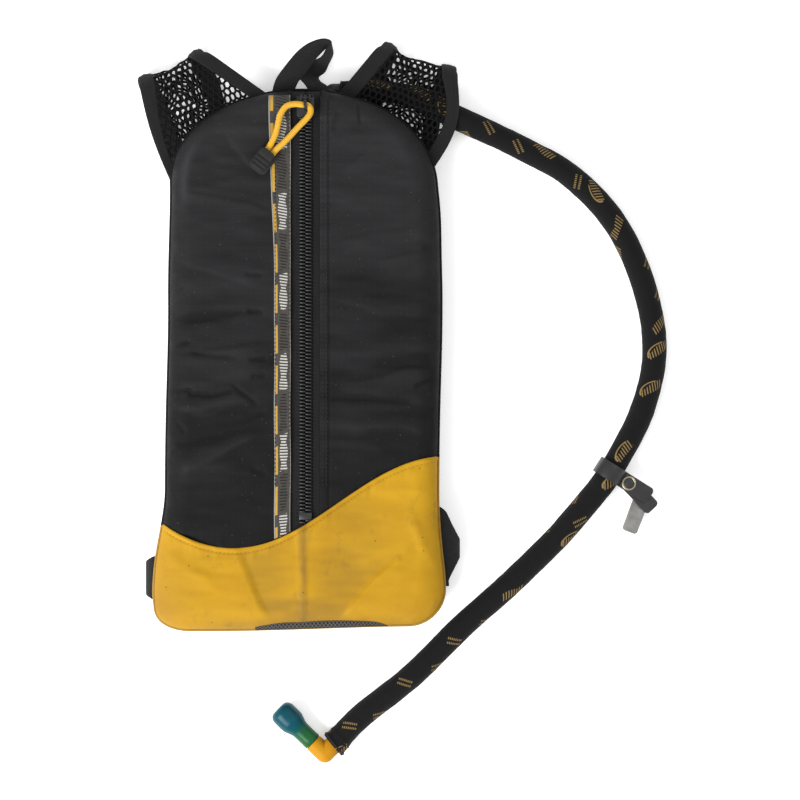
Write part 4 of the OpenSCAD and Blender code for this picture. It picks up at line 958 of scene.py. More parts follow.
def foot_cloth_piece(nu=260, nv=130):
    """The yellow foot with its turned edge along the curve."""
    us = np.linspace(0, 1, nu)
    us = us - 0.05 * np.sin(TAU * us)
    vs = np.linspace(0, 1, nv)
    vs = 0.65 * vs + 0.35 * (1 - (1 - vs) ** 2)
    yl, yr = foot_end(-1), foot_end(1)
    x = -edge_x(yl) * (1 - us) + edge_x(yr) * us
    hi = np.stack([x, wave(x)], 1)
    c = CORNER_X + CORNER_R * math.cos(math.pi / 4)
    x = -c + 2 * c * us
    lo = np.stack([x, base_y(x)], 1)

    def side(s, y0, corner=0.35):
        a = np.pi / 4 * (1 - np.minimum(vs / corner, 1))
        y = CORNER_Y + (y0 - CORNER_Y) * np.clip((vs - corner) / (1 - corner), 0, 1)
        low = vs < corner
        return np.stack([s * np.where(low, CORNER_X + CORNER_R * np.cos(a), edge_x(y)),
                         np.where(low, CORNER_Y - CORNER_R * np.sin(a), y)], 1)

    flat = patch(lo, hi, side(-1, yl), side(1, yr), us, vs)
    x, y = flat[..., 0], flat[..., 1]
    rows = np.dstack([x, y, foot_height(x, y)])
    turn = [rows[-1:] + np.array([0, dy, dz]) for dy, dz in ((0.5, -0.5), (0.3, -1.3), (-3.0, -1.6))]
    rows = np.concatenate([rows, *turn], 0)
    obj = grid_obj("foot_cloth", settle(rows), [0], [0], "yellow_ripstop", "pack", ("lower_panel",),
                   places=wear_and_shade_places(rows))
    return skinned(obj, 0.7)


def close_ring(obj, first):
    """Closes the last ring of a mesh, whose points start at first, with one face."""
    active(obj)
    bpy.ops.object.mode_set(mode="EDIT")
    bpy.ops.mesh.select_all(action="DESELECT")
    bpy.ops.object.mode_set(mode="OBJECT")
    for v in obj.data.vertices:
        v.select = v.index >= first
    bpy.ops.object.mode_set(mode="EDIT")
    bpy.ops.mesh.edge_face_add()
    bpy.ops.object.mode_set(mode="OBJECT")


def back_cloth(step=3.455):
    """The back and the sides: rings from the seam down to the flat back."""
    seam = outline(step)
    n = len(seam)
    rings = []
    for a in np.radians(np.linspace(0, 90, 22)):
        d = BACK_ROLL * (1 - np.cos(a))
        rings.append(np.column_stack([seam * [1 - 2 * d / PACK_WIDTH, 1 - 2 * d / PACK_LENGTH],
                                      np.full(n, SEAM_Z - BACK_ROLL * np.sin(a))]))
    flat = seam * [1 - 2 * BACK_ROLL / PACK_WIDTH, 1 - 2 * BACK_ROLL / PACK_LENGTH]
    for k in (0.97, 0.92, 0.85, 0.75, 0.62, 0.46, 0.3, 0.16, 0.06):
        rings.append(np.column_stack([flat * k, np.full(n, float(BACK_Z))]))
    rows = np.array(rings)
    s = np.arange(n) / n * 160
    side = np.exp(-((rows[..., 2] - 15) / 5) ** 2)[..., None]
    push = 0.8 * side[..., 0] * noise(s[None] / 1.6, rows[..., 2] / 7, 61)
    out = unit(np.column_stack([seam, np.zeros(n)]))[None]
    rows = rows + out * push[..., None]
    flatness = (rows[..., 2] < BACK_Z + 0.01)[..., None] * np.array([0, 0, 1.0])
    rows = rows + flatness * np.abs(noise(rows[..., 0] / 17, rows[..., 1] / 17, 63))[..., None] * 0.5
    obj = grid_obj("back_cloth", settle(rows), np.arange(n + 1), np.arange(len(rows)), "black_fabric", "pack",
                   ("back_panel",), wrap=True)
    close_ring(obj, (len(rows) - 1) * n)
    modify(obj, "SOLIDIFY", thickness=1.2 * MM, offset=-1.0, use_rim=True)
    return obj


def welt(step=3.03):
    """The corded seam round the pack, black above and yellow round the foot."""
    line = outline(step)
    n = len(line)
    h = unit(np.roll(line, -1, 0) - np.roll(line, 1, 0))
    out = np.column_stack([h[:, 1], -h[:, 0], np.zeros(n)])
    a = np.linspace(0, TAU, 9)[:-1]
    mid = np.column_stack([settle(line), np.full(n, float(SEAM_Z))]) + out * 0.35
    mid[:, 2] += 0.25 * noise(np.arange(n) / 5.0, 0.5, 71)
    rows = mid[:, None] + 1.15 * (out[:, None] * np.cos(a)[None, :, None]
                                  + np.array([0, 0, 1.0]) * np.sin(a)[None, :, None])
    low = line[:, 1] < wave(line[:, 0])
    first = int(np.argmax(low))
    last = n - int(np.argmax(low[::-1]))
    for name, slot, part in (("seam_welt", "black_fabric", np.arange(last - 1, first + n + 1) % n),
                             ("foot_welt", "foot_piping", np.arange(first, last))):
        mesh = mesh_of(name, rows[part], grid_faces(len(part), 8, wrap_n=True)[:, ::-1],
                       np.repeat(line[part], 8, 0))
        shown(name, mesh, slot, "pack")


PAD_LOW, PAD_HIGH, PAD_HALF, PAD_R, CHANNEL = -185, 150, 42, 16, 48


def quilted_pad():
    """The mesh back pad, a crowned cushion with sewn channels."""
    ny, nx = 240, 60
    y = np.linspace(PAD_LOW, PAD_HIGH, ny)
    into = np.clip(np.maximum(PAD_LOW + PAD_R - y, y - (PAD_HIGH - PAD_R)), 0, PAD_R)
    half = PAD_HALF - PAD_R + np.sqrt(np.clip(PAD_R**2 - into**2, 0, None))
    t = np.sin(np.linspace(-np.pi / 2, np.pi / 2, nx))
    x, y = t[None] * half[:, None], np.repeat(y[:, None], nx, 1)
    d = np.minimum(half[:, None] - np.abs(x), np.minimum(y - PAD_LOW, PAD_HIGH - y))
    up = np.sqrt(np.clip(1 - (1 - np.minimum(d / 11, 1)) ** 2, 0, 1))
    channel = np.exp(-((((y + 17.5) / CHANNEL + 0.5) % 1 - 0.5) * CHANNEL / 3.2) ** 2)
    low = BACK_Z - 7.7 * up * (1 - 0.42 * channel) + 0.15 * up * noise(x / 9, y / 9, 73)
    rows = np.dstack([x, y, low])
    top = np.dstack([x, y, np.full_like(x, BACK_Z)])
    pts = np.concatenate([rows.reshape(-1, 3), top.reshape(-1, 3)])
    f = grid_faces(ny, nx)
    mesh = mesh_of("quilted_pad", pts, np.concatenate([f[:, ::-1], f + ny * nx]))
    obj = shown("quilted_pad", mesh, "pad_mesh", "pack", ("back_pad",))
    edited(obj, (bpy.ops.mesh.remove_doubles, {"threshold": 0.00003}))
    return obj


TRIM = (-21.2, -8.6)


def trim_strip():
    """The woven tape sewn beside the zip, a little wider where it meets the arch."""
    ny, nx = 300, 19
    half = (TRIM[1] - TRIM[0]) / 2
    x = np.linspace(*TRIM, nx)
    lo = wave(x) + 1.2
    v = np.linspace(0, 1, ny)[:, None]
    y = lo[None] * (1 - v) + 205.5 * v
    flare = 4.2 * ease((y - 60) / 130) * ((TRIM[1] - x) / (2 * half))[None]
    x = np.repeat(x[None], ny, 0) - flare + 0.35 * noise(y / 40, 0.3, 77)
    rows = np.dstack([x, y, black_height(x, y, -1.0) + 0.85])
    under = rows[:, ::-1] - np.array([0, 0, 0.8])
    both = settle(np.concatenate([rows, under], 1))
    across = np.linspace(-half, half, nx)
    across = np.concatenate([across, across[::-1], across[:1]])
    return grid_obj("trim_strip", both, across, y[:, nx // 2] + 150, "woven_trim", "pack", ("trim_tape",),
                    wrap=True, caps=True)


def zip_chain():
    """The zip: woven tapes over a guard strip, two rows of coil turns, and the end stop."""
    y0, y1, pitch = -127.0, 195.0, 2.75
    turn_z, cord_z, seam_z = 37.5, 36.8, 36.2
    y = np.linspace(-134, 208.6, 180)
    sunk = np.minimum(35.8, skin(ZIP_X, y) - 2.2)

    def strip(name, x, width, z, stands_for=()):
        line = np.column_stack([np.full_like(y, x), y, z + 0.15 * noise(y / 11, 0.4, 81)])
        across, up = flat_band(line, (1, 0, 0), width)
        ribbon(name, line, across, -up, 0.5 if width > 16 else 0.8, "zip_fabric", "pack", stands_for)

    strip("zip_guard", ZIP_X, 24, np.minimum(sunk - 2.5, 33.2))
    for s, side in ((-1, "left"), (1, "right")):
        strip("zip_cloth_" + side, ZIP_X + s * 8.7, 15.6, sunk, ("zip_tape_" + side,))
        turn, faces = bead([(-0.5, 0), (-0.46, 0.62), (-0.3, 1), (0.25, 1), (0.44, 0.72), (0.5, 0)], 7)
        at = np.arange(y0 + (0.7 if s < 0 else 0.7 + pitch / 2), y1, pitch)
        o = np.column_stack([np.full(len(at), ZIP_X + s * 2.3), at, np.full(len(at), turn_z)])
        ax = np.tile([-s * 5.4, s * 0.5, 0.0], (len(at), 1))
        ay = np.tile([0, 0.86, 0.0], (len(at), 1))
        az = np.tile([0, 0, 1.35], (len(at), 1))
        obj = many("zip_turns_" + side, turn, faces, (o, ax, ay, az), "zip_nylon", "pack")
        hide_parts("zip_coil_" + side)
        cord = np.column_stack([np.full(80, ZIP_X + s * 4.6), np.linspace(y0, y1, 80), np.full(80, cord_z)])
        tube("zip_cord_" + side, cord, 0.6, "zip_fabric", "pack", sides=8)
        rows = [(np.column_stack([np.full(90, ZIP_X + s * k), np.linspace(y0, y1, 90),
                                  np.full(90, seam_z)]), (0, 0, 1)) for k in (6.0, 7.1)]
        stitches("zip_seam_" + side, rows, "black_thread", "pack", length=2.0, gap=0.75, r=0.26)
    dressed("zip_bottom_stop", "zip_nylon", "pack", bevel=0.35)


def front_seams():
    """Rows of topstitching on the front."""
    up = (0, 0, 1)
    y = np.linspace(-98, 204, 260)

    def on_black(x, s, lift=0.0):
        x = np.full_like(y, x)
        keep = y > wave(x) + 2
        return settle(np.column_stack([x, y, black_height(x, y, s) + lift])[keep]), up

    stitches("facing_seams", [on_black(16.2, 1.0), on_black(19.6, 1.0)], "black_thread", "pack",
             length=2.4, gap=0.9, r=0.32)
    edges = [on_black(TRIM[0] + 0.7, -1.0, 0.85), on_black(TRIM[1] - 0.7, -1.0, 0.85)]
    stitches("trim_seams", edges, "black_thread", "pack", length=2.2, gap=1.0, r=0.26)
    x = np.linspace(-106, 104, 320)
    line = np.column_stack([x, wave(x) - 3.9])
    line = np.column_stack([line, foot_height(line[:, 0], line[:, 1])])
    stitches("foot_seam", [(settle(line), up)], "yellow_thread", "pack", length=2.1, gap=1.1, r=0.34)


def drain_band():
    """The lens of open knit let into the foot's lower edge."""
    nx, nv = 200, 14
    x = np.linspace(-36, 69, nx)
    v = np.linspace(0, 1, nv)[:, None]
    tall = 5.8 * np.sqrt(np.clip(1 - ((x - 14) / 54) ** 2, 0.01, 1)) + 0.5 * noise(x / 15, 0.2, 85)
    y = base_y(x)[None] - 0.6 + tall[None] * v
    xx = np.repeat(x[None], nv, 0)
    rows = np.dstack([xx, y, foot_height(xx, np.maximum(y, base_y(xx) + 0.05)) + 0.35])
    side = np.repeat(rows[:1], 3, 0) - np.array([0, 0, 1.0]) * np.array([7, 4, 1.5])[:, None, None]
    side[..., 1] -= np.array([0.2, 0.8, 0.6])[:, None]
    rows = np.concatenate([side, rows], 0)
    along = np.concatenate([[-8, -5, -2.5], np.linspace(0, 6, nv)])
    obj = grid_obj("drain_band", settle(rows), x, along, "drain_knit", "pack", ("drain_mesh",))
    return modify(obj, "SOLIDIFY", thickness=0.7 * MM, offset=-1.0)


# Shoulder straps, as two layers folded over a crest: left under -1, right under 1
UP_Z, LOW_Z, BEND = 23.2, 1.2, 11.0
MID_Z = (UP_Z + LOW_Z) / 2
CREST = {-1: np.array([[-78.0, 243.3], [-130, 220.5]]), 1: np.array([[63.0, 248.5], [121.5, 228]])}
BOW, ROUND = {-1: 2.6, 1: 8.5}, 4.0
FLARE = {-1: {1: 7.0, -1: 0.5}, 1: {1: 4.7, -1: 3.9}}
SLUMP = {-1: ((0, 6, 11, 16, 20.5, 26, 29.6, 35, 41.5, 50, 56),
              (0, -0.6, 1, 3, 3, 5.6, 7.2, 4, 3.4, 0.6, 0.6)),
         1: ((0, 5, 11, 16.7, 20.7, 27, 34.7, 47, 52, 60), (0, -0.4, 1.7, 5.5, 7.6, 4.6, 2.9, 2.7, 1.3, 0))}
BASE_IN, BASE_OUT, BIND = {-1: 27.8, 1: 28.6}, {-1: 139.5, 1: 148.0}, 13.0
STRAP_LINE = [(81.5, 150, 21.5), (78, 100, 20), (76, 55, 17), (78, 22, 15)]


class Strap:
    """One strap: its crest, its lower line and how a flat place on it folds."""

    def __init__(self, s):
        self.s = s
        a, b = CREST[s]
        self.along = unit(b - a)
        self.out = np.array([self.along[1], -self.along[0]]) * (1 if s < 0 else -1)
        self.ends = [a - BEND * self.out, b - BEND * self.out]
        m, h = (self.ends[0] + self.ends[1]) / 2, np.linalg.norm(b - a) / 2
        q = m - 25 * self.out
        line = [(*m, h), (*q, h)] + [(s * x, y, w) for x, y, w in STRAP_LINE]
        self.low = smooth(line, 10)

    def edge(self, side, d):
        """Points of the lower layer's edge, set in by d, and the way inwards."""
        f = self.low[:, :2]
        h = headings(f)
        h[0] = -self.out
        v = self.s * side * np.column_stack([h[:, 1], -h[:, 0]])
        return f + v * (self.low[:, 2:] - d), -v

    def upper_edge(self, side, t):
        """A point of the upper layer's edge and the way its binding is wide there."""
        s = self.s
        if side > 0:
            base = [np.array([s * x, float(top_y(x)) + 0.7]) for x in (BASE_IN[s], BASE_IN[s] + BIND)]
        else:
            base = [np.array([s * (float(edge_x(y)) + 0.7), y]) for y in (BASE_OUT[s], BASE_OUT[s] + BIND)]
        p = self.ends[0 if side > 0 else 1] - self.along * side * FLARE[s][side]
        bow = 0.0 if side > 0 else s * BOW[s] * math.sin(math.pi * max(t, 0))
        point = base[0] * (1 - t) + p * t + np.array([bow, 0])
        return point, (base[1] - base[0]) * (1 - t) + self.along * side * BIND * t

    def stations(self, side):
        """Edge points, widths and normals of one binding, from the base to the lower end."""
        p, c = self.ends[0 if side > 0 else 1], self.along * side
        out = []
        for t in np.linspace(-0.06, 1, 26)[:-1]:
            q, w = self.upper_edge(side, t)
            out.append(([*q, UP_Z], [*w, 0], [0, 0, 1]))
        for k in np.radians(np.arange(0, 181, 9)):
            n = np.array([*(self.out * np.sin(k)), np.cos(k)])
            flare = FLARE[self.s][side] * (1 - np.sin(k)) * (k < np.pi / 2)
            out.append((np.array([*(p - c * flare), MID_Z]) + BEND * n, [*(c * BIND), 0], n))
        pts, inward = self.edge(side, 0)
        for q, v in zip(pts[1:], inward[1:]):
            out.append(([*q, LOW_Z], [*(v * BIND), 0], [0, 0, -1]))
        return [np.array([o[k] for o in out], float) for k in range(3)]

    def flat(self, points, lower):
        """Places on the unfolded strap of points of one layer."""
        rel = np.asarray(points, float) - self.ends[0]
        t, q = rel @ self.along, rel @ self.out
        return np.column_stack([t, np.pi * BEND - q if lower else q])

    def folded(self, places):
        """Points and normals of places on the unfolded strap."""
        t, q = places[:, 0], places[:, 1]
        a = np.clip(q / BEND, 0, np.pi)
        reach = np.where(q < 0, q, np.where(q > np.pi * BEND, np.pi * BEND - q, BEND * np.sin(a)))
        xy = self.ends[0] + t[:, None] * self.along + reach[:, None] * self.out
        n = np.column_stack([np.sin(a)[:, None] * self.out, np.cos(a)])
        return self.slumped(np.column_stack([xy, MID_Z + BEND * np.cos(a)])), n

    def slumped(self, points):
        """Points of the fold after its crest has sunk between rounded corners."""
        rel = points[:, :2] - self.ends[0]
        t, q = rel @ self.along, np.maximum(rel @ self.out, 0)
        a = np.arctan2(q, points[:, 2] - MID_Z)
        edge = np.clip(np.minimum(t, np.linalg.norm(self.ends[1] - self.ends[0]) - t), 0, ROUND)
        drop = np.interp(t, *SLUMP[self.s]) + ROUND - np.sqrt(ROUND**2 - (ROUND - edge) ** 2)
        n = np.column_stack([np.sin(a)[:, None] * self.out, np.cos(a)])
        return points - n * (drop * np.sin(a) ** 2)[:, None]

    def outlines(self):
        """The net's outlines on the unfolded strap: upper layer, fold and lower layer."""
        s, d = self.s, BIND - 1.5
        a0 = np.arccos((BASE_IN[s] + d) / (ARCH_HALF + 0.7))
        a1 = np.arcsin((BASE_OUT[s] + d - ARCH_Y) / (ARCH_RISE + 0.7))
        a = np.linspace(a0, a1, 30)
        arc = np.column_stack([s * (ARCH_HALF - 0.5) * np.cos(a), ARCH_Y + (ARCH_RISE - 0.5) * np.sin(a)])
        wide_in, wide_out = (FLARE[s][side] for side in (1, -1))
        p, r = self.ends[0] + self.along * (d - wide_in), self.ends[1] - self.along * (d - wide_out)
        t = np.linspace(0.1, 0.9, 9)
        inner, outer = ([q + unit(w) * d for q, w in (self.upper_edge(side, k) for k in at)]
                        for side, at in ((1, t[::-1]), (-1, t)))
        upper = self.flat(np.vstack([[p], inner, arc, outer, [r]]), False)
        (i, _), (o, _) = self.edge(1, d), self.edge(-1, d)
        lower = self.flat(np.vstack([i, o[::-1]]), True)
        width = np.linalg.norm(self.ends[1] - self.ends[0])
        far, top, end = width - d, np.pi / 2 * BEND, np.pi * BEND
        bend = np.array([[d - wide_in, 0], [far + wide_out, 0], [far, top], [far, end], [d, end], [d, top]])
        return [upper, bend, lower]


def inside(points, ring):
    """Which points lie inside a closed outline."""
    x, y = points[:, :1], points[:, 1:]
    a, b = ring, np.roll(ring, -1, 0)
    hit = (a[:, 1] > y) != (b[:, 1] > y)
    slope = (b[:, 0] - a[:, 0]) / np.where(b[:, 1] == a[:, 1], 1e-9, b[:, 1] - a[:, 1])
    return (np.sum(hit & (x < a[:, 0] + (y - a[:, 1]) * slope), 1) % 2).astype(bool)


def honeycomb(rings, pitch, stretch=1.3):
    """Ends of the threads of a net of long six-sided cells inside the outlines."""
    long = np.array([1, stretch])
    rings = [ring / long for ring in rings]
    lo, hi = np.min([r.min(0) for r in rings], 0), np.max([r.max(0) for r in rings], 0)
    r = pitch / math.sqrt(3)
    across, along = (hi - lo) / (pitch, 1.5 * r) + 2
    i, j = np.meshgrid(np.arange(-1, across), np.arange(-1, along))
    mid = np.column_stack([((i + (j % 2) / 2) * pitch).ravel(), (j * 1.5 * r).ravel()]) + lo
    ends = []
    for k in range(3):
        turns = math.pi / 3 * k, math.pi / 3 * (k + 1)
        a, b = (np.array([math.sin(q), math.cos(q)]) * r for q in turns)
        ends.append((mid + a, mid + b))
    a, b = (np.concatenate([e[k] for e in ends]) for k in (0, 1))
    middle = (a + b) / 2
    keep = np.any([inside(middle, ring) for ring in rings], 0)
    return a[keep] * long, b[keep] * long


BAR_SECTION = (1, 0), (0.3, 1), (-0.3, 1), (-1, 0), (0, -1)
BAR = (np.array([[x, y, z] for x in (-0.5, 0, 0.5) for y, z in BAR_SECTION]),
       [[i * 5 + k, i * 5 + (k + 1) % 5, i * 5 + 5 + (k + 1) % 5, i * 5 + 5 + k]
        for i in (0, 1) for k in range(5)] + [[4, 3, 2, 1, 0], [10, 11, 12, 13, 14]])


def strap_pieces(s, side, pitch):
    """One strap's net, its two bindings and their stitching."""
    strap = Strap(s)

    def drift(p, size, seed):
        return noise(p[:, 0] / size, p[:, 1] / size, seed)

    def sway(p, seed):
        return drift(p, 3, seed) + 1.5 * drift(p, 14, seed + 1)

    def laid(p):
        loose = pitch * (0.12 + 0.2 * ease((p[:, 1] - 12) / 16))[:, None]
        p, n = strap.folded(p + loose * np.column_stack([sway(p, 91 + s), sway(p, 95 + s)]))
        return p + n * (0.9 * drift(p, 13, 97 + s)[:, None]), n

    (pa, na), (pb, nb) = (laid(end) for end in honeycomb(strap.outlines(), pitch))
    n = unit(na + nb)
    ax = (pb - pa) * 1.22
    ay = unit(np.cross(n, ax)) * 0.98
    net = many("strap_net_" + side, *BAR, ((pa + pb) / 2, ax, ay, n * 0.45), "strap_mesh", "pack")
    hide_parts("shoulder_mesh_" + side)
    seams = []
    for edge, word in ((1, "in"), (-1, "out")):
        q, w, n = strap.stations(edge)
        k = len(q)
        lift = 0.8 * noise(np.arange(k) / 5.0, 0.3, 101 + s + edge) * ease(np.arange(k) / 6)
        q = q + n * lift[:, None] * ease((46 - np.arange(k)) / 6)[:, None]
        line = q + w / 2
        h = headings(line)
        n2 = unit(np.cross(h, w))
        n2 = n2 * np.sign(np.sum(n2 * n, 1))[:, None]
        name = f"strap_edge_{word}_{side}"
        flip = np.sum(np.cross(h[5], w[5]) * n[5]) > 0
        obj = ribbon(name, line if flip else line[::-1], w if flip else w[::-1], n2 if flip else n2[::-1],
                     2.1, "binding", "pack", (f"strap_binding_{word}_{side}",), count=24, crown=0.25)
        reshape(obj, strap.slumped)
        for t in (0.22, 0.84):
            for face in (1, -1):
                seams.append((strap.slumped(q + w * t + n2 * (1.05 * face + 0.12)), n2 * face))
    stitches("strap_seams_" + side, seams, "black_thread", "pack", length=2.0, gap=1.0, r=0.26)


def lock_webs(s, side, web_wide):
    """The webbing below the strap: the lock's loop, the adjusting web and the side tab."""
    lock_x, lock_y, web_thick = 78, 8, 1.1
    loop = [(30, 3), (14, 3), (4, 2.7), (-1, 2.4), (-3.4, 3.4), (-3.6, 5.4), (-2, 7), (4, 7), (11, 6.4),
            (18, 5.2), (28, 4.5)]
    web = [(-20, 0.9), (-12, 0.9), (-7.6, 1.6), (-6.3, 4), (-7.2, 6.6), (-9.5, 7.1), (-13, 7.1),
           (-15.4, 6.2), (-16, 4.6), (-17.4, 3), (-21, 2.6), (-40, 2.6), (-70, 2.6)]
    far = [(104, -178, 0.9), (99, -130, 0.9), (85, -66, 0.9), (79, -40, 0.9)]
    lines = {
        "strap_loop_": smooth([(s * lock_x, lock_y + y, z) for y, z in loop], 6),
        "lower_web_": smooth([(s * x, y, z) for x, y, z in far]
                             + [(s * lock_x, lock_y + y, z) for y, z in web], 6),
    }
    for name, line in lines.items():
        across, up = flat_band(line, (1, 0, 0), web_wide)
        ribbon("woven_" + name + side, line, across, up, web_thick, "black_webbing", "pack", (name + side,))
    tab = ([(-108, 23.1, 36), (-113.2, 22.8, 35), (-117, 22, 33), (-121, 18, 28),
            (-121.6, 11, 26), (-119, 5, 26), (-113, 2.8, 25), (-95, 2.6, 24)] if s < 0 else
           [(107, 23.1, 66), (112.2, 22.8, 58), (116.6, 22, 40), (121.6, 18, 20),
            (122.6, 11, 15), (119.6, 5, 18), (113, 2.8, 24), (95, 2.6, 24)])
    rows = smooth(tab, 8)
    mid = -170.0 if s < 0 else -147.0
    line = np.column_stack([rows[:, 0], np.full(len(rows), mid), rows[:, 1]])
    across = np.column_stack([np.zeros(len(rows)), rows[:, 2], np.zeros(len(rows))])
    up = unit(np.cross(headings(line), across))
    ribbon("woven_web_tab_" + side, line, across, up, web_thick, "binding", "pack", ("web_tab_" + side,))
    dressed("ladder_lock_" + side, "black_plastic", "pack", bevel=0.5)


def grab_loop(wide):
    """The carrying loop: one length of webbing, twisted over to the right."""
    pts = [(-14.5, 209.6, 23.2), (-11.6, 217.5, 24.7), (-6, 224.8, 27), (2.2, 235.2, 29.5), (9.4, 241.6, 30),
           (17.8, 246.6, 28), (22.6, 246.2, 24.5), (21.8, 241, 20.5), (17.4, 233.6, 14.6), (11, 228.6, 12.6),
           (5.6, 224.2, 13), (6, 219.2, 16.5), (11, 214.2, 20.2), (13.8, 209.6, 23.2)]
    way = [(1, 0.1, 0), (1, -0.1, -0.2), (0.85, -0.3, -0.4), (0.7, -0.4, -0.6), (0.42, -0.48, -0.78),
           (0.2, -0.3, -0.95), (0, -0.15, -1), (0.25, -0.2, -0.95), (0.33, -0.24, -0.92), (0.72, -0.38, -0.6),
           (0.82, -0.33, -0.48), (0.93, -0.18, -0.3), (0.99, -0.08, -0.12), (1, -0.1, 0)]
    line, turn = smooth(pts, 10), smooth(way, 10)
    across, up = flat_band(line, turn, wide, square=False)
    ribbon("grab_loop", line, across, up, 1.5, "black_webbing", "handle", ("grab_handle",), count=24)
    rows = []
    for at in (6, len(line) - 7):
        for k in (0.0, 1.2):
            mid = line[at] + headings(line)[at] * k
            t = np.linspace(-0.42, 0.42, 12)[:, None]
            out = up[at] * np.sign(up[at][2])
            rows.append((mid + across[at] * t + out * 0.85, out))
    stitches("grab_seams", rows, "black_thread", "handle", length=1.6, gap=0.5, r=0.3)


# Zip pull, hose, valve and clip
HOSE = [(30, 211, 9.4), (60, 211, 11.6), (91, 204, 12.3), (122, 189, 12.3), (155, 174, 10.8),
        (179, 162, 9.9), (204.5, 148, 9.8), (229.5, 126, 9.8), (247.7, 102.5, 9.8), (261, 75.5, 9.8),
        (270, 48, 9.8), (275, 20, 9.8), (274, -9, 9.8), (264, -44, 10.8), (247.5, -76, 12.4),
        (240.6, -87, 12.4), (233.7, -98, 12.3), (209.6, -127, 10.6), (194.6, -143.5, 9.8),
        (160, -177, 9.8), (125.2, -208, 9.8), (85.5, -247, 10), (46.4, -278, 10.6), (27, -298, 10.9)]
SLEEVE_R, SLEEVE_OVER, TUBE_R = 9.5, 4.4, 4.8


def zip_pull():
    """Slider, link, yellow cord loop and moulded grip."""
    dressed("zip_slider", "dark_metal", "slider", bevel=0.4, segments=3)
    dressed("pull_tab", "dark_metal", "tab", bevel=0.35, segments=3)
    lean, grip_at = math.radians(232), np.array([-30.0, 154])
    way = np.array([math.cos(lean), math.sin(lean)])
    across = 2.8 * np.array([-way[1], way[0]])
    start, leave = grip_at - 3.5 * way, grip_at - 12.5 * way
    pts = [(*(start - across), 43.5), (*(leave - across), 43.5), (-19.8, 175.2, 44.1),
           (-17.6, 184.6, 44.7), (-15.6, 191, 45), (-11.3, 196.4, 45.3), (-5, 198, 45.3),
           (0.6, 197.5, 45.3), (3, 197.4, 45.3), (5.4, 196.6, 45.3), (7.2, 193.2, 45.3),
           (5.4, 188.4, 45.2), (-2.8, 179.8, 44.7), (-11.2, 170.6, 44.1),
           (*(leave + across), 43.5), (*(start + across), 43.5)]
    line, _ = respace(smooth(pts, 14), 0.9)
    cord = tube("pull_loop", line, 2.4, "pull_yellow", "loop", ("pull_cord",), sides=18)
    grip = dressed("pull_grip", "black_rubber", "loop", bevel=0.7, segments=3)


def slant_end(piece, tip, h, side):
    """Draws the sleeve's end further over the elbow on the side away from the valve."""
    out = side if side @ VALVE_WAY < 0 else -side

    def change(points):
        off = points - tip
        pull = ease((off @ h + 12) / 14) * 0.13 * (off @ out)
        return off + tip + pull[:, None] * h

    reshape(piece, change)


def valve_pieces():
    """The elbow, the bite valve on its barb and a dark bead of painted shade for the slit in the valve."""
    elbow = dressed("bite_elbow", "yellow_plastic", "elbow", bevel=0.7, segments=3)
    tip = np.radians(np.arange(0, 90, 9))
    t = np.linspace(0, 1, 14)
    profile = ([(0, 6.5), (0.25, 7.0), (0.8, 7.35), (4, 7.3), (9, 7.25)]
               + [(13 + 11 * k, 7.3 + 2.9 * float(ease(k))) for k in t]
               + [(27, 10.25), (30, 10.2)]
               + [(31.5 + 6.3 * math.sin(a), 5.3 + 4.9 * math.cos(a)) for a in tip[1:]]
               + [(37.98, 4.6), (38.0, 2.8), (37.8, 0.5)])
    axis = np.array([ELBOW_AT + VALVE_WAY * (12.8 + a) for a, _ in profile])
    axis = axis[0] + VALVE_WAY * np.maximum.accumulate(
        (axis - axis[0]) @ VALVE_WAY + np.arange(len(axis)) * 1e-4)[:, None]
    valve = tube("valve_skin", axis, [r for _, r in profile], "teal_silicone", "valve", ("bite_valve",),
                 sides=40)
    # Painted shade: a thin dark bead where the slit is cut
    slit, faces = bead([(-0.5, 0), (-0.42, 0.5), (0, 1), (0.42, 0.5), (0.5, 0)], 8)
    at = (ELBOW_AT + VALVE_WAY * 50.75)[None]
    slit_shade = many("valve_slit_shade", slit, faces, (at, [np.array([0, 0, 9.0])], [VALVE_WAY * 0.25],
               [unit(np.cross(VALVE_WAY, (0, 0, 1.0))) * 0.35]), "black_rubber", "valve")
    return [elbow, valve, slit_shade]


CLIP = (("clip_strap", "black_vinyl", "hose_clip", 0.5, 3),
        ("snap_stud", "black_plastic", "hose_clip", 0.3, 2),
        ("snap_ring", "snap_metal", "hose_clip", 0.45, 3),
        ("clip_rivet", "clip_steel", "hose_clip", 0.15, 2),
        ("clip_plate", "clip_steel", "clip", 0.22, 2),
        ("clip_pin", "clip_steel", "clip", 0.15, 2),
        ("clip_spring", "clip_steel", "clip", 0.0, 1),
        ("clip_jaw", "clip_steel", "jaw", 0.22, 2))


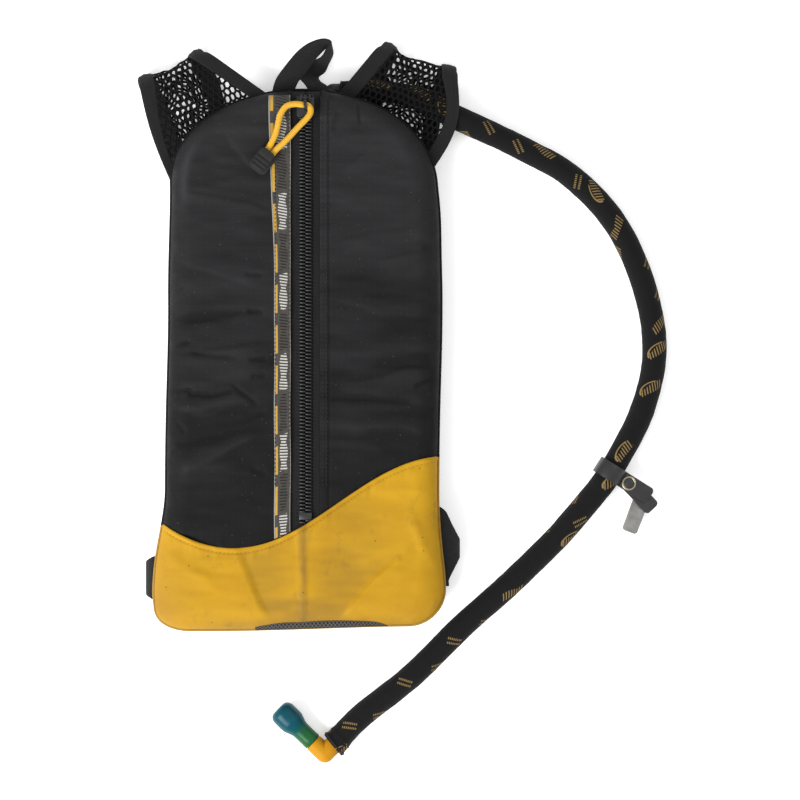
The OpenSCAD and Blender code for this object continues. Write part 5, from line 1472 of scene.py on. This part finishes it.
def drink_hose():
    """The hose in its printed sleeve, with elbow, bite valve and clip."""
    line, s = respace(smooth(HOSE, 12), 1.6)
    total = s[-1]
    h = headings(line)[-1]
    side = unit(np.cross(h, (0, 0, 1.0)))
    up = np.cross(side, h)
    radii = SLEEVE_R * (0.79 + 0.21 * ease(s / 96)) + 0.8 * ease((s - total + 9) / 8)
    radii = radii + 0.16 * noise(s / 4.5, 0.4, 111) + 0.2 * noise(s / 19, 0.7, 113)
    rows = np.vstack([line, *[line[-1] + h * a for a in (1.4, 2.8, SLEEVE_OVER)]])
    radii = np.concatenate([radii, [10.5, 10.9, 10.8]])
    sleeve = tube("hose_sleeve", rows, radii, "sleeve_fabric", "pack", ("drink_sleeve",), sides=28,
                  caps=False)
    lip_line = np.array([line[-1] + h * (SLEEVE_OVER - 0.35 * k) for k in range(8)])[::-1]
    lip_r = np.array([11.1, 11.25, 11.3, 11.2, 11.0, 10.6, 9.8, 7.7])
    hem = tube("sleeve_hem", lip_line, lip_r, "binding", "pack", sides=28, caps=False)
    inner = tube("hose_core", line, TUBE_R, "clear_tube", "pack", ("drink_tube",), sides=16)
    ring = np.radians(np.arange(0, 361, 6))
    circle = np.cos(ring)[:, None] * side + np.sin(ring)[:, None] * up
    seam = stitches("hem_seam", [(line[-1] - h * 3.6 + circle * 10.5, circle)], "black_thread", "pack",
                    length=2.2, gap=1.0, r=0.3)
    for piece in (sleeve, hem, seam):
        slant_end(piece, line[-1], h, side)
    valve = valve_pieces()
    clip = [dressed(node, slot, body, bevel, segments) for node, slot, body, bevel, segments in CLIP]


def inner_pieces():
    """The bladder, its port and cap, the foam and the inner hose."""
    for node in ("front_foam", "back_foam"):
        dressed(node, "foam", "pack", bevel=0.4)
    for node in ("bladder_back", "bladder_weld_left", "bladder_weld_right", "bladder_weld_top",
                 "bladder_weld_base", "bladder_front"):
        dressed(node, "bladder_film", "pack", bevel=0.15)
    dressed("fill_port", "blue_plastic", "pack", bevel=0.4)
    dressed("outlet_port", "blue_plastic", "pack", bevel=0.3)
    dressed("fill_cap", "blue_plastic", "cap", bevel=0.6, segments=3)
    dressed("cap_gasket", "gasket", "cap", bevel=0.2)
    feed = [(50, -140.6, 29.9), (50, -100, 29.9), (50, -20, 29.9), (50, 60, 29.9), (50, 110, 29.9),
            (50, 143, 29.75), (49, 152, 28.7), (43, 168, 23.9), (31, 182, 18.3), (21, 190, 14.6),
            (20, 196, 14)]
    feed_line = respace(smooth(feed, 10), 2.5)[0]
    tube("feed_line", feed_line, TUBE_R, "clear_tube", "pack", ("feed_tube",), sides=16)
    boot = smooth([(20, 196.4, 14), (20, 201, 14), (20, 206, 13.7), (23, 210.4, 11), (26.5, 211, 9.6),
                   (30.5, 211, 9.4)], 10)
    thick = 4.9 + 0.5 * ease((np.arange(len(boot)) - 20) / 6)
    thick = thick + 2.6 * ease((np.arange(len(boot)) - 46) / 3)
    tube("exit_boot", boot, thick, "black_rubber", "pack", ("tube_exit",), sides=20)


# Stage
WHITE = (1.0, 1.0, 1.0, 1.0)
CAMERA_AT, LAMP_AIM = (0.0764, -0.0312, 3.487), (0.05, -0.02, 0.02)


def stage():
    """Pale floor, soft light from above and a camera looking straight down."""
    scene = bpy.context.scene
    scene.view_settings.view_transform = "Standard"
    bpy.ops.mesh.primitive_plane_add(size=14.0, location=(0, 0, 0))
    floor = bpy.context.active_object
    floor.name = "floor"
    floor.data.transform(Matrix.Translation((0, 0, -0.0004)))
    m = Mat(Roughness=0.9, Specular_IOR_Level=0.1, Emission_Color=WHITE, Emission_Strength=0.27)
    m.material.name = "floor_white"
    spot, _ = m.place()
    m.set("Base Color", m.mix(m.noise(spot, 0.004, 2.0), lin(250, 250, 250, 1.0), lin(253, 253, 253, 1.0)))
    floor.data.materials.append(m.material)
    world = bpy.data.worlds.new("studio")
    scene.world = world
    world.use_nodes = True
    back = world.node_tree.nodes["Background"]
    back.inputs["Color"].default_value = WHITE
    back.inputs["Strength"].default_value = 0.85
    lamps = ("key", (-1.1, -1.0, 1.3), 1.1, 62.0), ("fill", (1.2, 0.6, 1.6), 1.4, 8.0)
    for name, place, size, power in lamps:
        lamp = bpy.data.lights.new(name, "AREA")
        lamp.size, lamp.energy = size, power
        obj = bpy.data.objects.new(name, lamp)
        bpy.context.collection.objects.link(obj)
        obj.location = place
        aim = Vector(LAMP_AIM) - Vector(place)
        obj.rotation_euler = aim.to_track_quat("-Z", "Y").to_euler()
    cam = bpy.data.cameras.new("camera")
    cam.lens, cam.sensor_width = 200.0, 36.0
    cam.clip_end = 50.0
    eye = bpy.data.objects.new("camera", cam)
    bpy.context.collection.objects.link(eye)
    eye.location = CAMERA_AT
    scene.camera = eye


# Add-on
def panel_length(name, description, default, least, most):
    """A length that can be set in the panel, given in millimetres."""
    return bpy.props.FloatProperty(name=name, description=description, subtype="DISTANCE", unit="LENGTH",
                                   default=default * MM, min=least * MM, max=most * MM)


def panel_colour(name, description, default):
    """A colour that can be set in the panel."""
    return bpy.props.FloatVectorProperty(name=name, description=description, subtype="COLOR", size=4,
                                         min=0.0, max=1.0, default=default)


def millimetres(length):
    """A length of the panel in millimetres, freed from its rounding."""
    return round(length / MM, 3)


class PackSizes(bpy.types.PropertyGroup):
    """Sizes of the net and the webbing."""

    net_pitch: panel_length("Net pitch", "Spacing of the strap net's cells", 4.6, 2.5, 6.0)
    web_width: panel_length("Webbing width", "Width of the webbing below the straps", 22, 12, 22)
    grab_width: panel_length("Loop width", "Width of the carrying loop", 18, 10, 20)


class PackColours(bpy.types.PropertyGroup):
    """Main colours."""

    black: panel_colour("Black cloth", "Front cloth", lin(19, 19, 21))
    foot: panel_colour("Yellow cloth", "Foot of the pack", lin(232, 178, 32))
    cord: panel_colour("Pull cord", "Zip pull", lin(255, 187, 34, 0.62))
    elbow: panel_colour("Elbow", "Bite elbow", lin(222, 154, 18))
    valve: panel_colour("Valve", "Bulb of the bite valve", lin(0, 74, 88))
    cap: panel_colour("Cap", "Fill cap", lin(36, 84, 168))


class PACK_OT_materials(bpy.types.Operator):
    """Makes every material"""

    bl_idname = "pack.materials"
    bl_label = "Materials"
    bl_options = {"REGISTER", "UNDO"}

    def execute(self, context):
        MATS.update(make_materials(context.scene.pack_colours))
        return {"FINISHED"}


class PACK_OT_stage(bpy.types.Operator):
    """Makes the floor, the light and the camera"""

    bl_idname = "pack.stage"
    bl_label = "Stage"
    bl_options = {"REGISTER", "UNDO"}

    def execute(self, context):
        stage()
        return {"FINISHED"}


class PACK_OT_hose(bpy.types.Operator):
    """Makes the drink hose with its valve and clip"""

    bl_idname = "pack.hose"
    bl_label = "Drink Hose"
    bl_options = {"REGISTER", "UNDO"}

    def execute(self, context):
        drink_hose()
        return {"FINISHED"}


class PACK_OT_pull(bpy.types.Operator):
    """Makes the zip pull"""

    bl_idname = "pack.pull"
    bl_label = "Zip Pull"
    bl_options = {"REGISTER", "UNDO"}

    def execute(self, context):
        zip_pull()
        return {"FINISHED"}


class PACK_OT_skin(bpy.types.Operator):
    """Makes the pack's cloth and back pad"""

    bl_idname = "pack.skin"
    bl_label = "Pack Cloth"
    bl_options = {"REGISTER", "UNDO"}

    def execute(self, context):
        front_cloth(-1.0, "left")
        front_cloth(1.0, "right")
        foot_cloth_piece()
        back_cloth()
        welt()
        quilted_pad()
        return {"FINISHED"}


class PACK_OT_front(bpy.types.Operator):
    """Makes the zip, its tape and the topstitching"""

    bl_idname = "pack.front"
    bl_label = "Zip and Seams"
    bl_options = {"REGISTER", "UNDO"}

    def execute(self, context):
        trim_strip()
        zip_chain()
        front_seams()
        drain_band()
        return {"FINISHED"}


class PACK_OT_straps(bpy.types.Operator):
    """Makes the shoulder straps, their webbing and the carrying loop"""

    bl_idname = "pack.straps"
    bl_label = "Straps"
    bl_options = {"REGISTER", "UNDO"}

    def execute(self, context):
        sizes = context.scene.pack_sizes
        for s, side in ((-1, "left"), (1, "right")):
            strap_pieces(s, side, millimetres(sizes.net_pitch))
            lock_webs(s, side, millimetres(sizes.web_width))
        grab_loop(millimetres(sizes.grab_width))
        return {"FINISHED"}


class PACK_OT_inner(bpy.types.Operator):
    """Makes the bladder and the other inner pieces"""

    bl_idname = "pack.inner"
    bl_label = "Bladder"
    bl_options = {"REGISTER", "UNDO"}

    def execute(self, context):
        inner_pieces()
        return {"FINISHED"}


class PACK_PT_panel(bpy.types.Panel):
    """Steps, sizes and colours of the pack"""

    bl_idname = "PACK_PT_panel"
    bl_label = "Hydration Pack"
    bl_space_type = "VIEW_3D"
    bl_region_type = "UI"
    bl_category = "Pack"

    def draw(self, context):
        for step in STEPS:
            self.layout.operator(step.bl_idname)
        for key in ("net_pitch", "web_width", "grab_width"):
            self.layout.prop(context.scene.pack_sizes, key)
        for key in ("black", "foot", "cord", "elbow", "valve", "cap"):
            self.layout.prop(context.scene.pack_colours, key)


STEPS = (PACK_OT_materials, PACK_OT_stage, PACK_OT_hose, PACK_OT_pull, PACK_OT_skin, PACK_OT_front,
         PACK_OT_straps, PACK_OT_inner)
CLASSES = (PackSizes, PackColours, *STEPS, PACK_PT_panel)


def register():
    """Makes the classes and their settings known to Blender."""
    for cls in CLASSES:
        bpy.utils.register_class(cls)
    bpy.types.Scene.pack_sizes = bpy.props.PointerProperty(type=PackSizes)
    bpy.types.Scene.pack_colours = bpy.props.PointerProperty(type=PackColours)


def unregister():
    """Takes the classes and their settings away again."""
    del bpy.types.Scene.pack_sizes, bpy.types.Scene.pack_colours
    for cls in reversed(CLASSES):
        bpy.utils.unregister_class(cls)


def main():
    """Registers the classes and runs every step."""
    register()
    for step in STEPS:
        run = getattr(bpy.ops.pack, step.bl_idname.split(".")[1])
        if run() != {"FINISHED"}:
            raise RuntimeError(step.bl_label + " did not finish")


if __name__ == "__main__":
    main()
